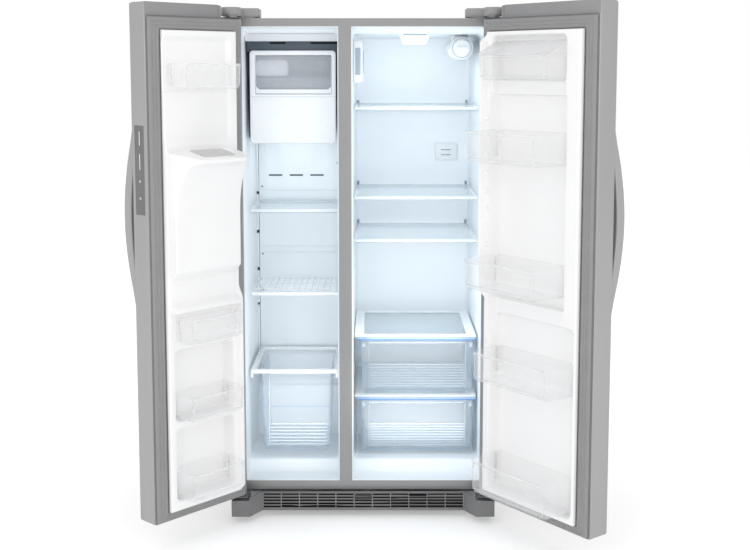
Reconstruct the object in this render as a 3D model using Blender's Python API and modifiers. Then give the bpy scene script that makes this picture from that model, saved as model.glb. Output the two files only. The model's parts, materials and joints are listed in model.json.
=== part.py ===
"""Side by side refrigerator with both doors open, as separate named pieces.

Frame: +Z up, the doors face -Y, +X is the fresh food side. The origin is on the
floor, under the middle of the whole object as it stands with its doors open.
All pieces are placed in the cabinet's own frame (X = 0 on its centre line,
Y = 0 on its front face, Z = 0 on the floor), which hangs on one empty.
Each door hangs on an empty on its hinge pin, and its pieces are given as they
lie with the door closed: u runs from the pin to the free edge.
"""
import math

import bmesh
import bpy

# ---------------------------------------------------------------- cabinet
CABINET_SHIFT = (-0.0266, -0.1132)     # cabinet centre line and front face in the world
CABINET_W = 0.9176
CABINET_D = 0.705
CABINET_TOP = 1.736
CABINET_BOTTOM = 0.078
HALF_W = CABINET_W / 2
SHEET = 0.002                          # steel skins
PLASTIC = 0.003                        # thermoformed and moulded walls
GAP = 0.0003                           # between pieces that touch
FRAME_T = 0.020                        # depth of the front face frame
OPENING_Z = (0.126, 1.709)
FREEZER_X = (-0.415, -0.083)
FRIDGE_X = (-0.039, 0.4175)
LINER_BACK = 0.655
HUMP_TOP = 0.340                       # liner step over the machine compartment
FRAME_BOTTOM = 0.0935
PAN_Z = (0.056, 0.0775)

# ---------------------------------------------------------------- interior
SHELF_FRONT = 0.155
SHELF_BACK = 0.600
SHELF_TOPS = {"top": 1.433, "middle": 1.115, "low": 0.961}
SHELF_X = (-0.0315, 0.4060)
TRIM_H = 0.012
TRIM_D = 0.014
PANE_T = 0.004
CRISPER_COVER_Z = 0.610
LOWER_COVER_Z = 0.389
CRISPER_X = (-0.012, 0.400)
FREEZER_PANEL_Y = 0.470
FREEZER_SHELF_X = (-0.4025, -0.0905)
FREEZER_SHELF_TOP = 1.0695
WIRE_SHELF_TOP = 0.769
BIN_FRAME_Z = 0.498
BIN_FRAME_FRONT = 0.100
ICE_BIN_X = (-0.396, -0.0955)
ICE_BIN_Y = (0.115, 0.455)
ICE_BIN_Z = (1.306, 1.630)
FILTER_XZ = (0.349, 1.6395)

# ---------------------------------------------------------------- doors
PIN_INSET = 0.0203                     # pin to the door's hinge side
PIN_Y = -0.0457
PIN_R = 0.005
PIN_HOLE_R = 0.0058
PIN_X = HALF_W - PIN_INSET
DOOR_Y = (-0.095, -0.014)
DOOR_Z = (0.0956, 1.7726)
NOTCH_Z = 1.731                        # door top is cut down to here over the hinge
NOTCH_U = 0.070
FREEZER_DOOR_W = 0.3954
FRIDGE_DOOR_W = 0.5162
FREEZER_OPEN = 132.94                  # degrees open as stored
FRIDGE_OPEN = 127.51
GASKET_Z = (0.100, 1.7286)
GASKET_Y = (-0.0137, -0.0006)
WINDOW_Z = (0.1310, 1.6876)
RING_Y = 0.015                         # how far the liner's border stands into the cabinet
LINER_BACK_Y = -0.045
POCKET_Y = -0.030
HANDLE_Z = (0.804, 1.378)
HANDLE_OUT = 0.056                     # how far the bow stands out from the door face
ALCOVE_U = (0.095, 0.275)
PANEL_Y = (-0.078, -0.029)             # key panel on the free edge of the freezer door
PANEL_Z = (1.107, 1.389)
KEY_Z = (1.159, 1.213)
KEY_R = 0.0050

# ---------------------------------------------------------------- colours
STAINLESS = ("stainless", (0.56, 0.56, 0.57), 0.32, 0.9)
GREY_PAINT = ("grey_paint", (0.36, 0.36, 0.365), 0.45, 0.0)
GASKET_GREY = ("gasket_grey", (0.33, 0.33, 0.335), 0.6, 0.0)
WHITE = ("white_liner", (0.86, 0.87, 0.88), 0.3, 0.0)
CLEAR = ("clear_plastic", (0.85, 0.90, 0.95), 0.08, 0.0)
GLASS = ("shelf_glass", (0.80, 0.90, 0.92), 0.05, 0.0)
DARK = ("dark_plastic", (0.05, 0.05, 0.055), 0.45, 0.0)
ZINC = ("zinc_steel", (0.55, 0.56, 0.58), 0.4, 0.8)
LENS = ("lamp_lens", (0.95, 0.97, 1.0), 0.3, 0.0)
RUBBER = ("rubber", (0.06, 0.06, 0.06), 0.8, 0.0)


def clear_scene():
    for item in list(bpy.context.scene.objects):
        bpy.data.objects.remove(item, do_unlink=True)


def make_collection(name):
    group = bpy.data.collections.new(name)
    bpy.context.scene.collection.children.link(group)
    return group


clear_scene()
PARTS = make_collection("side_by_side_refrigerator")
CUTTERS = make_collection("cutters")


def finish_material(spec):
    """One Principled material for each finish, made the first time it is asked for."""
    name, colour, rough, metal = spec
    found = bpy.data.materials.get(name)
    if found:
        return found
    made = bpy.data.materials.new(name)
    made.use_nodes = True
    shader = made.node_tree.nodes["Principled BSDF"]
    shader.inputs["Base Color"].default_value = (*colour, 1.0)
    shader.inputs["Roughness"].default_value = rough
    shader.inputs["Metallic"].default_value = metal
    return made


def empty(name, place, parent=None, turn=0.0):
    made = bpy.data.objects.new(name, None)
    PARTS.objects.link(made)
    made.parent = parent
    made.location = place
    made.rotation_euler = (0.0, 0.0, math.radians(turn))
    return made


CABINET = empty("cabinet_frame", (*CABINET_SHIFT, 0.0))
FREEZER_PIN = empty("freezer_door_pin", (-PIN_X, PIN_Y, 0.0), CABINET, -FREEZER_OPEN)
FRIDGE_PIN = empty("fridge_door_pin", (PIN_X, PIN_Y, 0.0), CABINET, FRIDGE_OPEN)


# ---------------------------------------------------------------- tools
def place(name, mesh, finish, parent, location=(0, 0, 0), rotation=(0, 0, 0)):
    """Link a mesh as a part, or as a cutter when it has no finish."""
    made = bpy.data.objects.new(name, mesh)
    made.parent = parent
    made.location = location
    made.rotation_euler = rotation
    if finish is None:
        CUTTERS.objects.link(made)
        made.hide_render = True
        made.display_type = "WIRE"
    else:
        PARTS.objects.link(made)
        made.data.materials.append(finish_material(finish))
    return made


def add_bevel(item, width, segments=2):
    if width > 0:
        edge = item.modifiers.new("rounded_edges", "BEVEL")
        edge.width = width
        edge.segments = segments
        edge.limit_method = "ANGLE"
    return item


def add_wall(item, thickness, offset=-1.0):
    wall = item.modifiers.new("wall", "SOLIDIFY")
    wall.thickness = thickness
    wall.offset = offset
    wall.use_even_offset = True
    return item


def combine(item, tool, operation):
    step = item.modifiers.new(tool.name, "BOOLEAN")
    step.operation = operation
    step.solver = "EXACT"
    step.object = tool
    return item


def cut(item, *tools):
    for tool in tools:
        combine(item, tool, "DIFFERENCE")
    return item


def join(item, *tools):
    for tool in tools:
        combine(item, tool, "UNION")
    return item


def middle(low, high):
    return tuple((a + b) / 2 for a, b in zip(low, high))


def box_mesh(low, high):
    """A box of the given size about its own middle."""
    size = [b - a for a, b in zip(low, high)]
    shape = bmesh.new()
    bmesh.ops.create_cube(shape, size=1.0)
    bmesh.ops.scale(shape, vec=size, verts=shape.verts)
    mesh = bpy.data.meshes.new("box")
    shape.to_mesh(mesh)
    shape.free()
    return mesh


def block(name, low, high, finish=None, parent=CABINET, bevel=0.0):
    made = place(name, box_mesh(low, high), finish, parent, middle(low, high))
    return add_bevel(made, bevel)


def drop_faces(mesh, sides):
    """Delete the faces that look along the given directions, at the mesh's own limits."""
    shape = bmesh.new()
    shape.from_mesh(mesh)
    shape.normal_update()
    gone = []
    for axis, sign in sides:
        edge = max(sign * v.co[axis] for v in shape.verts)
        for face in shape.faces:
            flat = sign * face.normal[axis] > 0.999
            if flat and abs(sign * face.calc_center_median()[axis] - edge) < 1e-4:
                gone.append(face)
    bmesh.ops.delete(shape, geom=gone, context="FACES")
    shape.to_mesh(mesh)
    shape.free()
    return mesh


def open_box(name, low, high, sides, wall, finish, parent=CABINET, bevel=0.0, draft=0.0):
    """A box shell with some sides missing; draft pulls its floor in."""
    mesh = drop_faces(box_mesh(low, high), sides)
    floor = (low[2] - high[2]) / 2
    for vertex in mesh.vertices:
        if draft and abs(vertex.co.z - floor) < 1e-6:
            vertex.co.x -= math.copysign(draft, vertex.co.x)
            vertex.co.y -= math.copysign(draft, vertex.co.y)
    made = place(name, mesh, finish, parent, middle(low, high))
    add_bevel(made, bevel)
    return add_wall(made, wall)


PLANES = {"XY": (0.0, 0.0, 0.0), "XZ": (math.pi / 2, 0.0, 0.0), "YZ": (math.pi / 2, 0.0, math.pi / 2)}


def outline_mesh(loops, thickness):
    """A flat outline, with any holes, given a thickness about its own plane."""
    curve = bpy.data.curves.new("outline", "CURVE")
    curve.dimensions = "2D"
    curve.fill_mode = "BOTH"
    curve.extrude = thickness / 2
    for loop in loops:
        line = curve.splines.new("POLY")
        line.points.add(len(loop) - 1)
        for point, (a, b) in zip(line.points, loop):
            point.co = (a, b, 0.0, 1.0)
        line.use_cyclic_u = True
    guide = bpy.data.objects.new("outline", curve)
    CUTTERS.objects.link(guide)
    seen = guide.evaluated_get(bpy.context.evaluated_depsgraph_get())
    mesh = bpy.data.meshes.new_from_object(seen)
    bpy.data.objects.remove(guide, do_unlink=True)
    shape = bmesh.new()
    shape.from_mesh(mesh)
    bmesh.ops.remove_doubles(shape, verts=shape.verts, dist=1e-5)
    bmesh.ops.dissolve_limit(shape, angle_limit=0.01, verts=shape.verts, edges=shape.edges)
    bmesh.ops.recalc_face_normals(shape, faces=shape.faces)
    shape.to_mesh(mesh)
    shape.free()
    return mesh


def outline(name, plane, loops, start, end, finish=None, parent=CABINET, bevel=0.0):
    """Extrude an outline drawn in a plane from start to end along the third axis."""
    mid = (start + end) / 2
    place_at = {"XY": (0, 0, mid), "XZ": (0, mid, 0), "YZ": (mid, 0, 0)}[plane]
    mesh = outline_mesh(loops, abs(end - start))
    made = place(name, mesh, finish, parent, place_at, PLANES[plane])
    return add_bevel(made, bevel)


def rectangle(a0, a1, b0, b1):
    return [(a0, b0), (a1, b0), (a1, b1), (a0, b1)]


def arc(centre, radius, start, end, steps):
    """Points on an arc, from start to end degrees."""
    points = []
    for i in range(steps + 1):
        angle = math.radians(start + (end - start) * i / steps)
        points.append((centre[0] + radius * math.cos(angle), centre[1] + radius * math.sin(angle)))
    return points


def turned(name, profile, location, finish=None, parent=CABINET, tilt=(0, 0, 0), steps=24):
    """Turn a profile of (radius, height), top to bottom, about the Z axis."""
    mesh = bpy.data.meshes.new("profile")
    edges = [(i, i + 1) for i in range(len(profile) - 1)]
    mesh.from_pydata([(r, 0.0, h) for r, h in profile], edges, [])
    made = place(name, mesh, finish, parent, location, tilt)
    spin = made.modifiers.new("turn", "SCREW")
    spin.steps = steps
    spin.render_steps = steps
    spin.use_merge_vertices = True
    spin.merge_threshold = 0.00001
    spin.use_smooth_shade = True
    return made


def rod(name, radius, low, high, place_xy, finish=None, parent=CABINET, steps=20):
    profile = [(0, high), (radius, high), (radius, low), (0, low)]
    return turned(name, profile, (*place_xy, 0.0), finish, parent, steps=steps)


ALONG_X = (0.0, math.pi / 2, 0.0)
ALONG_Y = (math.pi / 2, 0.0, 0.0)
X, Y, Z = 0, 1, 2


# ---------------------------------------------------------------- cabinet body
def cabinet_wrapper():
    """Painted steel sides, top and back, with a notch at the back for the machine bay."""
    low = (-HALF_W, FRAME_T + 2 * GAP, CABINET_BOTTOM)
    high = (HALF_W, CABINET_D, CABINET_TOP)
    shell = open_box("cabinet_wrapper", low, high, [(Y, -1), (Z, -1)], SHEET, GREY_PAINT)
    bay = block("bay_notch", (-0.40, CABINET_D - 0.01, 0.06), (0.40, CABINET_D + 0.01, 0.33))
    cut(shell, bay)


def front_frame():
    """The grey face frame with the mullion between the two compartments."""
    outer = rectangle(-HALF_W, HALF_W, FRAME_BOTTOM, CABINET_TOP)
    holes = [rectangle(*side, *OPENING_Z) for side in (FREEZER_X, FRIDGE_X)]
    outline("front_frame", "XZ", [outer] + holes, 0.0, FRAME_T, GREY_PAINT)


def liner(name, side):
    """A thermoformed compartment: sloping sill, floor step, machine hump, dropped ceiling."""
    low, high = OPENING_Z[0] + GAP, OPENING_Z[1] - GAP
    front = 0.0005
    profile = [(front, low), (0.085, low), (0.120, low + 0.034), (0.420, low + 0.034),
               (0.470, HUMP_TOP), (LINER_BACK, HUMP_TOP), (LINER_BACK, 1.690),
               (0.085, 1.690), (0.040, high), (front, high)]
    x0, x1 = side[0] + GAP, side[1] - GAP
    shell = outline(name, "YZ", [profile], x0, x1, WHITE)
    drop_faces(shell.data, [(X, -1)])
    add_wall(shell, PLASTIC)


def base_pan():
    """Folded steel tray under the cabinet, with ears that hold the rear rollers."""
    low, high = (-0.445, 0.030, PAN_Z[0]), (0.445, 0.690, PAN_Z[1])
    pan = open_box("base_pan", low, high, [(Z, 1)], SHEET, ZINC)
    for side in (-1, 1):
        for step in (-1, 1):
            x = side * 0.400 + step * 0.0155
            ear = block("roller_ear", (x - 0.0015, 0.605, 0.012), (x + 0.0015, 0.635, 0.057))
            join(pan, ear)
        axle = turned("axle_hole", [(0, 0.03), (0.0046, 0.03), (0.0046, -0.03), (0, -0.03)],
                      (side * 0.400, ROLLER_Y, ROLLER_R), None, tilt=ALONG_X, steps=16)
        cut(pan, axle)


ROLLER_R = 0.022
ROLLER_Y = 0.620


def roller(name, x):
    """A rear wheel with its axle stubs, turning about X."""
    profile = [(0, 0.0175), (0.004, 0.0175), (0.004, 0.0125), (ROLLER_R - 0.002, 0.0125),
               (ROLLER_R, 0.0105), (ROLLER_R, -0.0105), (ROLLER_R - 0.002, -0.0125),
               (0.004, -0.0125), (0.004, -0.0175), (0, -0.0175)]
    turned(name, profile, (x, ROLLER_Y, ROLLER_R), RUBBER, tilt=ALONG_X)


def leveling_foot(name, x):
    """A threaded foot under a front corner, turning about Z."""
    profile = [(0, PAN_Z[0] - GAP), (0.006, PAN_Z[0] - GAP), (0.006, 0.014), (0.018, 0.012),
               (0.021, 0.009), (0.021, 0.0), (0, 0.0)]
    turned(name, profile, (x, 0.060, 0.0), RUBBER)


GRILLE_Z = (0.024, 0.0925)
GRILLE_FRONT = -0.018
FOOT_FRONT = -0.080
FOOT_X = (0.392, 0.455)
FOOT_TOP = 0.081


def toe_grille():
    """Kick plate with slots; its ends come forward under the door hinges."""
    path = [(-FOOT_X[1], -GAP), (-FOOT_X[1], FOOT_FRONT), (-FOOT_X[0], FOOT_FRONT),
            (-0.352, GRILLE_FRONT)]
    path += [(-x, y) for x, y in reversed(path)]
    ribbon = bpy.data.meshes.new("ribbon")
    count = len(path)
    points = [(x, y, z) for z in GRILLE_Z for x, y in path]
    faces = [(i, i + 1, count + i + 1, count + i) for i in range(count - 1)]
    ribbon.from_pydata(points, [], faces)
    plate = place("toe_grille", ribbon, GREY_PAINT, CABINET)
    add_wall(plate, PLASTIC, 1.0 if plate.data.polygons[0].normal.x > 0 else -1.0)
    for side in (-1, 1):
        low, high = sorted((side * FOOT_X[0], side * 0.50))
        cut(plate, block("foot_drop", (low, -0.10, FOOT_TOP), (high, 0.01, 0.10)))
    cut(plate, grille_slots())


def grille_slots():
    """Five rows of slots; the middle two places of the top rows stay closed."""
    columns, pitch, rise = 11, 0.0640, 0.0112
    shape = bmesh.new()
    for row in range(5):
        for column in range(columns):
            if column == columns // 2 and row > 2:
                continue
            made = bmesh.ops.create_cube(shape, size=1.0)["verts"]
            bmesh.ops.scale(shape, vec=(pitch - 0.004, 0.03, 0.0062), verts=made)
            shift = ((column - columns // 2) * pitch, GRILLE_FRONT, 0.0375 + row * rise)
            bmesh.ops.translate(shape, vec=shift, verts=made)
    mesh = bpy.data.meshes.new("slots")
    shape.to_mesh(mesh)
    shape.free()
    return place("grille_slots", mesh, None, CABINET)


def machine_cover():
    """Pressed cover over the machine bay, with rows of air slots."""
    y0 = CABINET_D + GAP
    slots = [rectangle(x, x + 0.16, z, z + 0.008)
             for x in (-0.36, -0.08, 0.20) for z in (0.13, 0.155, 0.18, 0.205, 0.23)]
    outer = rectangle(-0.43, 0.43, 0.085, 0.345)
    outline("machine_cover", "XZ", [outer] + slots, y0, y0 + 0.0025, ZINC)


def compressor():
    """Welded steel pot on its rubber seat in the machine bay."""
    floor = PAN_Z[0] + SHEET + GAP
    profile = [(0, floor + 0.195)]
    profile += [(0.072 * math.sin(a), floor + 0.145 + 0.050 * math.cos(a))
                for a in (math.radians(t) for t in (22, 45, 67, 90))]
    profile += [(0.076, floor + 0.100), (0.076, floor + 0.094), (0.072, floor + 0.090),
                (0.070, floor + 0.040), (0.055, floor + 0.015), (0.045, floor), (0, floor)]
    turned("compressor", profile, (0.24, 0.590, 0.0), DARK)


# ---------------------------------------------------------------- hinges
def side_points(points, side):
    """Points drawn for the freezer side, mirrored for the fridge side."""
    return [(-x * side, y) for x, y in points]


def top_hinge(name, side):
    z0 = CABINET_TOP + GAP
    loop = arc((-PIN_X, PIN_Y), 0.022, 180, 360, 8)
    loop += [(-PIN_X + 0.022, 0.012), (-0.365, 0.020), (-0.365, 0.085), (-HALF_W + 0.012, 0.085),
             (-HALF_W + 0.012, 0.0)]
    plate = outline(name, "XY", [side_points(loop, side)], z0, z0 + 0.004, ZINC)
    join(plate, rod("hinge_pin", PIN_R, 1.712, z0 + 0.002, (side * PIN_X, PIN_Y)))


def hinge_cover(name, side):
    """Moulded cap over the top hinge."""
    z0 = CABINET_TOP + GAP + 0.004 + GAP
    loop = arc((-PIN_X, PIN_Y), 0.034, 180, 360, 10)
    loop += [(-PIN_X + 0.034, 0.006), (-0.351, 0.010), (-0.351, 0.095), (-HALF_W + 0.003, 0.095),
             (-HALF_W + 0.003, 0.002)]
    cap = outline(name, "XY", [side_points(loop, side)], z0, 1.770, GREY_PAINT)
    drop_faces(cap.data, [(Z, -1)])
    add_bevel(cap, 0.003)
    add_wall(cap, SHEET)


def bottom_hinge(name, side):
    z1 = DOOR_Z[0] - 0.0045
    loop = [(-PIN_X - 0.017, -0.066), (-PIN_X + 0.040, -0.066), (-PIN_X + 0.044, 0.060),
            (-PIN_X - 0.012, 0.060)]
    plate = outline(name, "XY", [side_points(loop, side)], z1 - 0.004, z1, ZINC)
    join(plate, rod("hinge_pin", PIN_R, z1 - 0.002, 0.118, (side * PIN_X, PIN_Y)))


# ---------------------------------------------------------------- fresh food side
def shelf(name, top, x_range, back):
    """A glass shelf: thin pane with deeper trims at the front and the back."""
    low = top - TRIM_H
    pane = top - PANE_T
    profile = [(SHELF_FRONT, low), (SHELF_FRONT + TRIM_D, low), (SHELF_FRONT + TRIM_D, pane),
               (back - TRIM_D, pane), (back - TRIM_D, low), (back, low), (back, top),
               (SHELF_FRONT, top)]
    outline(name, "YZ", [profile], *x_range, GLASS)


def crisper_cover(name, top, back):
    """The glass roof over a drawer, with a deeper front rail."""
    profile = [(SHELF_FRONT, top - 0.016), (SHELF_FRONT + 0.002, top - 0.016),
               (SHELF_FRONT + 0.002, top - 0.012), (back, top - 0.012), (back, top),
               (SHELF_FRONT, top)]
    outline(name, "YZ", [profile], -0.0325, 0.4070, GLASS)


def drawer(name, z_range, back):
    low = (CRISPER_X[0], SHELF_FRONT + 0.003, z_range[0])
    high = (CRISPER_X[1], back, z_range[1])
    open_box(name, low, high, [(Z, 1)], PLASTIC, CLEAR, bevel=0.012, draft=0.008)


def lamp_lens():
    """Frosted cover of the ceiling lamp."""
    top = 1.690 - PLASTIC - GAP
    loop = [(0.127, top), (0.141, top - 0.034), (0.221, top - 0.034), (0.235, top)]
    outline("lamp_lens", "XZ", [loop], 0.17, 0.23, LENS, bevel=0.004)


def filter_housing():
    """Tube for the water filter cartridge, with a saddle up to the ceiling."""
    x, z = FILTER_XZ
    profile = [(0, 0.0), (0.038, 0.0), (0.040, -0.002), (0.040, -0.330), (0, -0.330)]
    tube = turned("filter_housing", profile, (x, 0.19, z), WHITE, tilt=ALONG_Y, steps=32)
    saddle = block("saddle", (x - 0.025, 0.25, z + 0.020), (x + 0.025, 0.50, 1.6864))
    join(tube, saddle)
    bore = turned("filter_bore", [(0, 0.01), (0.0335, 0.01), (0.0335, -0.322), (0, -0.322)],
                  (x, 0.19, z), None, tilt=ALONG_Y, steps=32)
    cut(tube, bore)


def filter_cartridge():
    """Cartridge with a round cap and a grip bar, turning about Y."""
    x, z = FILTER_XZ
    profile = [(0, 0.012), (0.026, 0.012), (0.029, 0.009), (0.029, 0.0), (0.0325, 0.0),
               (0.0325, -0.310), (0, -0.310)]
    body = turned("filter_cartridge", profile, (x, 0.18, z), WHITE, tilt=ALONG_Y, steps=32)
    join(body, block("grip_bar", (x - 0.022, 0.160, z - 0.004), (x + 0.022, 0.172, z + 0.004)))


# ---------------------------------------------------------------- freezer side
def evaporator_cover():
    """Back panel of the freezer, with three air slots near the top."""
    slots = [rectangle(x, x + 0.051, 1.160, 1.166) for x in (-0.364, -0.285, -0.206)]
    outer = rectangle(-0.4020, -0.0910, HUMP_TOP + 0.006, 1.640)
    outline("evaporator_cover", "XZ", [outer] + slots, FREEZER_PANEL_Y, FREEZER_PANEL_Y + 0.004, WHITE)


EVAPORATOR_Y = 0.520
FAN_Z = 0.960
FREEZER_MIDDLE = (FREEZER_SHELF_X[0] + FREEZER_SHELF_X[1]) / 2


def evaporator():
    """Finned cooling coil between the cover and the back of the liner."""
    fins, pitch, depth = 18, 0.0150, 0.056
    x0, y0 = FREEZER_MIDDLE - fins * pitch / 2, EVAPORATOR_Y - depth / 2
    comb = [(x0, y0 + depth), (x0, y0 + depth - 0.010)]
    for i in range(fins):
        x = x0 + (i + 0.3) * pitch
        comb += [(x, y0 + depth - 0.010), (x, y0), (x + 0.006, y0), (x + 0.006, y0 + depth - 0.010)]
    comb += [(x0 + fins * pitch, y0 + depth - 0.010), (x0 + fins * pitch, y0 + depth)]
    outline("evaporator", "XY", [comb], 0.420, 0.800, ZINC)


def evaporator_fan():
    """Five-bladed fan above the coil, turning about Y."""
    profile = [(0, 0.016), (0.016, 0.016), (0.018, 0.012), (0.018, -0.016), (0, -0.016)]
    centre = (FREEZER_MIDDLE, EVAPORATOR_Y, FAN_Z)
    fan = turned("evaporator_fan", profile, centre, DARK, tilt=ALONG_Y)
    for i in range(5):
        angle = math.tau * i / 5
        blade = block("fan_blade", (-0.014, -0.0012, -0.022), (0.014, 0.0012, 0.022))
        blade.location = (centre[X] + 0.036 * math.sin(angle), centre[Y], centre[Z] + 0.036 * math.cos(angle))
        blade.rotation_euler = (0.0, angle, 0.0)
        for vertex in blade.data.vertices:
            vertex.co.y += vertex.co.x * 0.55
        join(fan, blade)


def wire_shelf():
    """Open shelf, drawn as a plate with long slots between its rods."""
    x0, x1 = FREEZER_SHELF_X
    count = 13
    pitch = (x1 - x0 - 0.020) / count
    slots = []
    for i in range(count):
        start = x0 + 0.010 + i * pitch
        slots.append(rectangle(start + 0.0025, start + pitch - 0.0025, SHELF_FRONT + 0.008, 0.452))
    outer = rectangle(x0, x1, SHELF_FRONT, 0.460)
    outline("wire_shelf", "XY", [outer] + slots, WIRE_SHELF_TOP - 0.008, WIRE_SHELF_TOP, WHITE)


def freezer_bin_frame():
    """Open frame above the deep freezer bin."""
    x0, x1 = FREEZER_SHELF_X
    outer = rectangle(x0, x1, BIN_FRAME_FRONT, 0.465)
    hole = rectangle(x0 + 0.020, x1 - 0.016, BIN_FRAME_FRONT + 0.018, 0.450)
    outline("freezer_bin_frame", "XY", [outer, hole], BIN_FRAME_Z - 0.014, BIN_FRAME_Z, WHITE, bevel=0.002)


def freezer_bin():
    low, high = (-0.3695, BIN_FRAME_FRONT + 0.012, 0.202), (-0.1118, 0.410, 0.481)
    open_box("freezer_bin", low, high, [(Z, 1)], PLASTIC, CLEAR, bevel=0.012, draft=0.010)


def ice_bin():
    """Ice bucket behind a tall fascia with a window over a plain panel."""
    x0, x1 = ICE_BIN_X
    y0, y1 = ICE_BIN_Y
    z0, z1 = ICE_BIN_Z
    outer = rectangle(x0, x1, z0, z1)
    window = rectangle(x0 + 0.022, x1 - 0.018, 1.475, 1.612)
    fascia = outline("ice_bin", "XZ", [outer, window], y0, y0 + 0.010, WHITE)
    bucket = block("bucket", (x0 + 0.006, y0 + 0.005, z0 + 0.004), (x1 - 0.006, y1, 1.535))
    inside = block("bucket_inside", (x0 + 0.010, y0 + 0.010, z0 + 0.012), (x1 - 0.010, y1 - 0.004, 1.60))
    chute = block("ice_outlet", (x0 + 0.100, y0 + 0.012, z0 - 0.01), (x1 - 0.090, y0 + 0.080, z0 + 0.02))
    join(fascia, bucket)
    cut(fascia, inside, chute)


def ice_maker():
    """Ice maker under the freezer ceiling, over the back of the bucket."""
    body = block("ice_maker", (-0.370, 0.230, 1.560), (-0.125, 0.440, 1.6865), WHITE, bevel=0.004)
    join(body, block("gear_case", (-0.375, 0.215, 1.575), (-0.340, 0.445, 1.6865)))


# ---------------------------------------------------------------- doors
class Door:
    """A door in its closed pose; u runs from the pin to the free edge, y and z as the cabinet."""

    def __init__(self, name, pin, flip, width, window_u):
        self.name = name
        self.pin = pin
        self.flip = flip
        self.free = width - PIN_INSET
        self.window_u = window_u

    def span(self, u0, u1):
        return sorted((self.flip * u0, self.flip * u1))

    def corners(self, u_range, y_range, z_range):
        x0, x1 = self.span(*u_range)
        low = (x0, y_range[0] - PIN_Y, z_range[0])
        high = (x1, y_range[1] - PIN_Y, z_range[1])
        return low, high

    def block(self, name, u_range, y_range, z_range, finish=None, bevel=0.0):
        return block(name, *self.corners(u_range, y_range, z_range), finish, self.pin, bevel)

    def tray(self, name, u_range, y_range, z_range, finish, bevel=0.010, draft=0.006):
        low, high = self.corners(u_range, y_range, z_range)
        return open_box(name, low, high, [(Z, 1)], 0.0025, finish, self.pin, bevel, draft)

    def side_outline(self, name, points, u_range, finish=None, bevel=0.0):
        shifted = [(y - PIN_Y, z) for y, z in points]
        return outline(name, "YZ", [shifted], *self.span(*u_range), finish, self.pin, bevel)

    def plan_outline(self, name, points, z_range):
        shifted = [(self.flip * u, y - PIN_Y) for u, y in points]
        return outline(name, "XY", [shifted], *z_range, None, self.pin)

    def face_outline(self, name, loops, y_range, finish):
        turned_loops = [[(self.flip * u, z) for u, z in loop] for loop in loops]
        y0, y1 = y_range
        return outline(name, "XZ", turned_loops, y0 - PIN_Y, y1 - PIN_Y, finish, self.pin)


FREEZER = Door("freezer_door", FREEZER_PIN, 1, FREEZER_DOOR_W, (0.0285, 0.3255))
FRIDGE = Door("fridge_door", FRIDGE_PIN, -1, FRIDGE_DOOR_W, (0.0265, 0.4465))


def door_shell(door):
    """Steel door pan with a rear flange, hinge notches and pin holes."""
    body = door.block(door.name + "_shell", (-PIN_INSET, door.free), DOOR_Y, DOOR_Z, STAINLESS, bevel=0.006)
    notch = door.block("notch", (-0.10, NOTCH_U), (-0.12, 0.02), (NOTCH_Z, 1.80))
    inner_y = (DOOR_Y[0] + SHEET, DOOR_Y[1] - SHEET)
    u_range = (-PIN_INSET + SHEET, door.free - SHEET)
    loop = [(u_range[0], DOOR_Z[0] + SHEET), (u_range[1], DOOR_Z[0] + SHEET),
            (u_range[1], DOOR_Z[1] - SHEET), (NOTCH_U + SHEET, DOOR_Z[1] - SHEET),
            (NOTCH_U + SHEET, NOTCH_Z - SHEET), (u_range[0], NOTCH_Z - SHEET)]
    inside = add_bevel(door.face_outline("inside", [loop], inner_y, None), 0.004)
    window = door.block("window", door.window_u, (DOOR_Y[1] - 0.012, 0.01), WINDOW_Z)
    cut(body, notch, inside, window)
    for name, low, high in (("top_hole", 1.70, 1.75), ("bottom_hole", 0.08, 0.12)):
        cut(body, rod(name, PIN_HOLE_R, low, high, (0.0, 0.0), None, door.pin))
    return body


def gasket(door):
    """Magnetic seal around the liner, on the door's rear flange."""
    outer = rectangle(-0.002, door.free - 0.0055, *GASKET_Z)
    inner = rectangle(*door.window_u, *WINDOW_Z)
    door.face_outline(door.name + "_gasket", [outer, inner], GASKET_Y, GASKET_GREY)


def door_liner(door, pockets, extra=None):
    """Thermoformed white liner: a raised border with pockets, open at the back."""
    u0, u1 = door.window_u
    z0, z1 = WINDOW_Z
    body = door.block(door.name + "_liner", (u0 + GAP, u1 - GAP), (LINER_BACK_Y, RING_Y),
                      (z0 + GAP, z1 - GAP), WHITE)
    for pocket_u, pocket_z in pockets:
        cut(body, door.block("pocket", pocket_u, (POCKET_Y, 0.10), pocket_z, bevel=0.006))
    if extra:
        join(body, extra)
    bpy.context.view_layer.update()
    seen = body.evaluated_get(bpy.context.evaluated_depsgraph_get())
    formed = bpy.data.meshes.new_from_object(seen)
    body.modifiers.clear()
    body.data = drop_faces(formed, [(Y, -1)])
    return add_wall(body, 0.0025)


def handle(door):
    """Bow handle: its ends run into the door face, with room for fingers behind."""
    face = DOOR_Y[0] - GAP
    z0, z1 = HANDLE_Z
    steps = 16
    outer, inner = [], []
    for i in range(steps + 1):
        t = i / steps
        outer.append((face - HANDLE_OUT * math.sin(math.pi * t) ** 0.9, z0 + (z1 - z0) * t))
        z = z0 + 0.110 + (z1 - z0 - 0.220) * t
        inner.append((face - (HANDLE_OUT - 0.019) * math.sin(math.pi * t) ** 0.9, z))
    loop = outer + inner[::-1]
    door.side_outline(door.name + "_handle", loop, (door.free - 0.040, door.free - 0.004), STAINLESS, 0.003)


def bulge_profile():
    """Side view of the ice and water housing: (y, z) from its foot up to the ice funnel."""
    foot = [(-0.020, 0.785), (0.050, 0.785), (0.050, 0.802), (0.018, 0.822), (0.018, 0.892),
            (0.052, 0.925)]
    scoop = [(0.115 - 0.063 * math.cos(a), 1.100 + 0.145 * math.sin(a))
             for a in (math.radians(t) for t in (0, 15, 30, 45, 60, 75, 90))]
    top = [(0.130, 1.252), (0.130, 1.283), (-0.020, 1.315)]
    return foot + scoop + top


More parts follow.
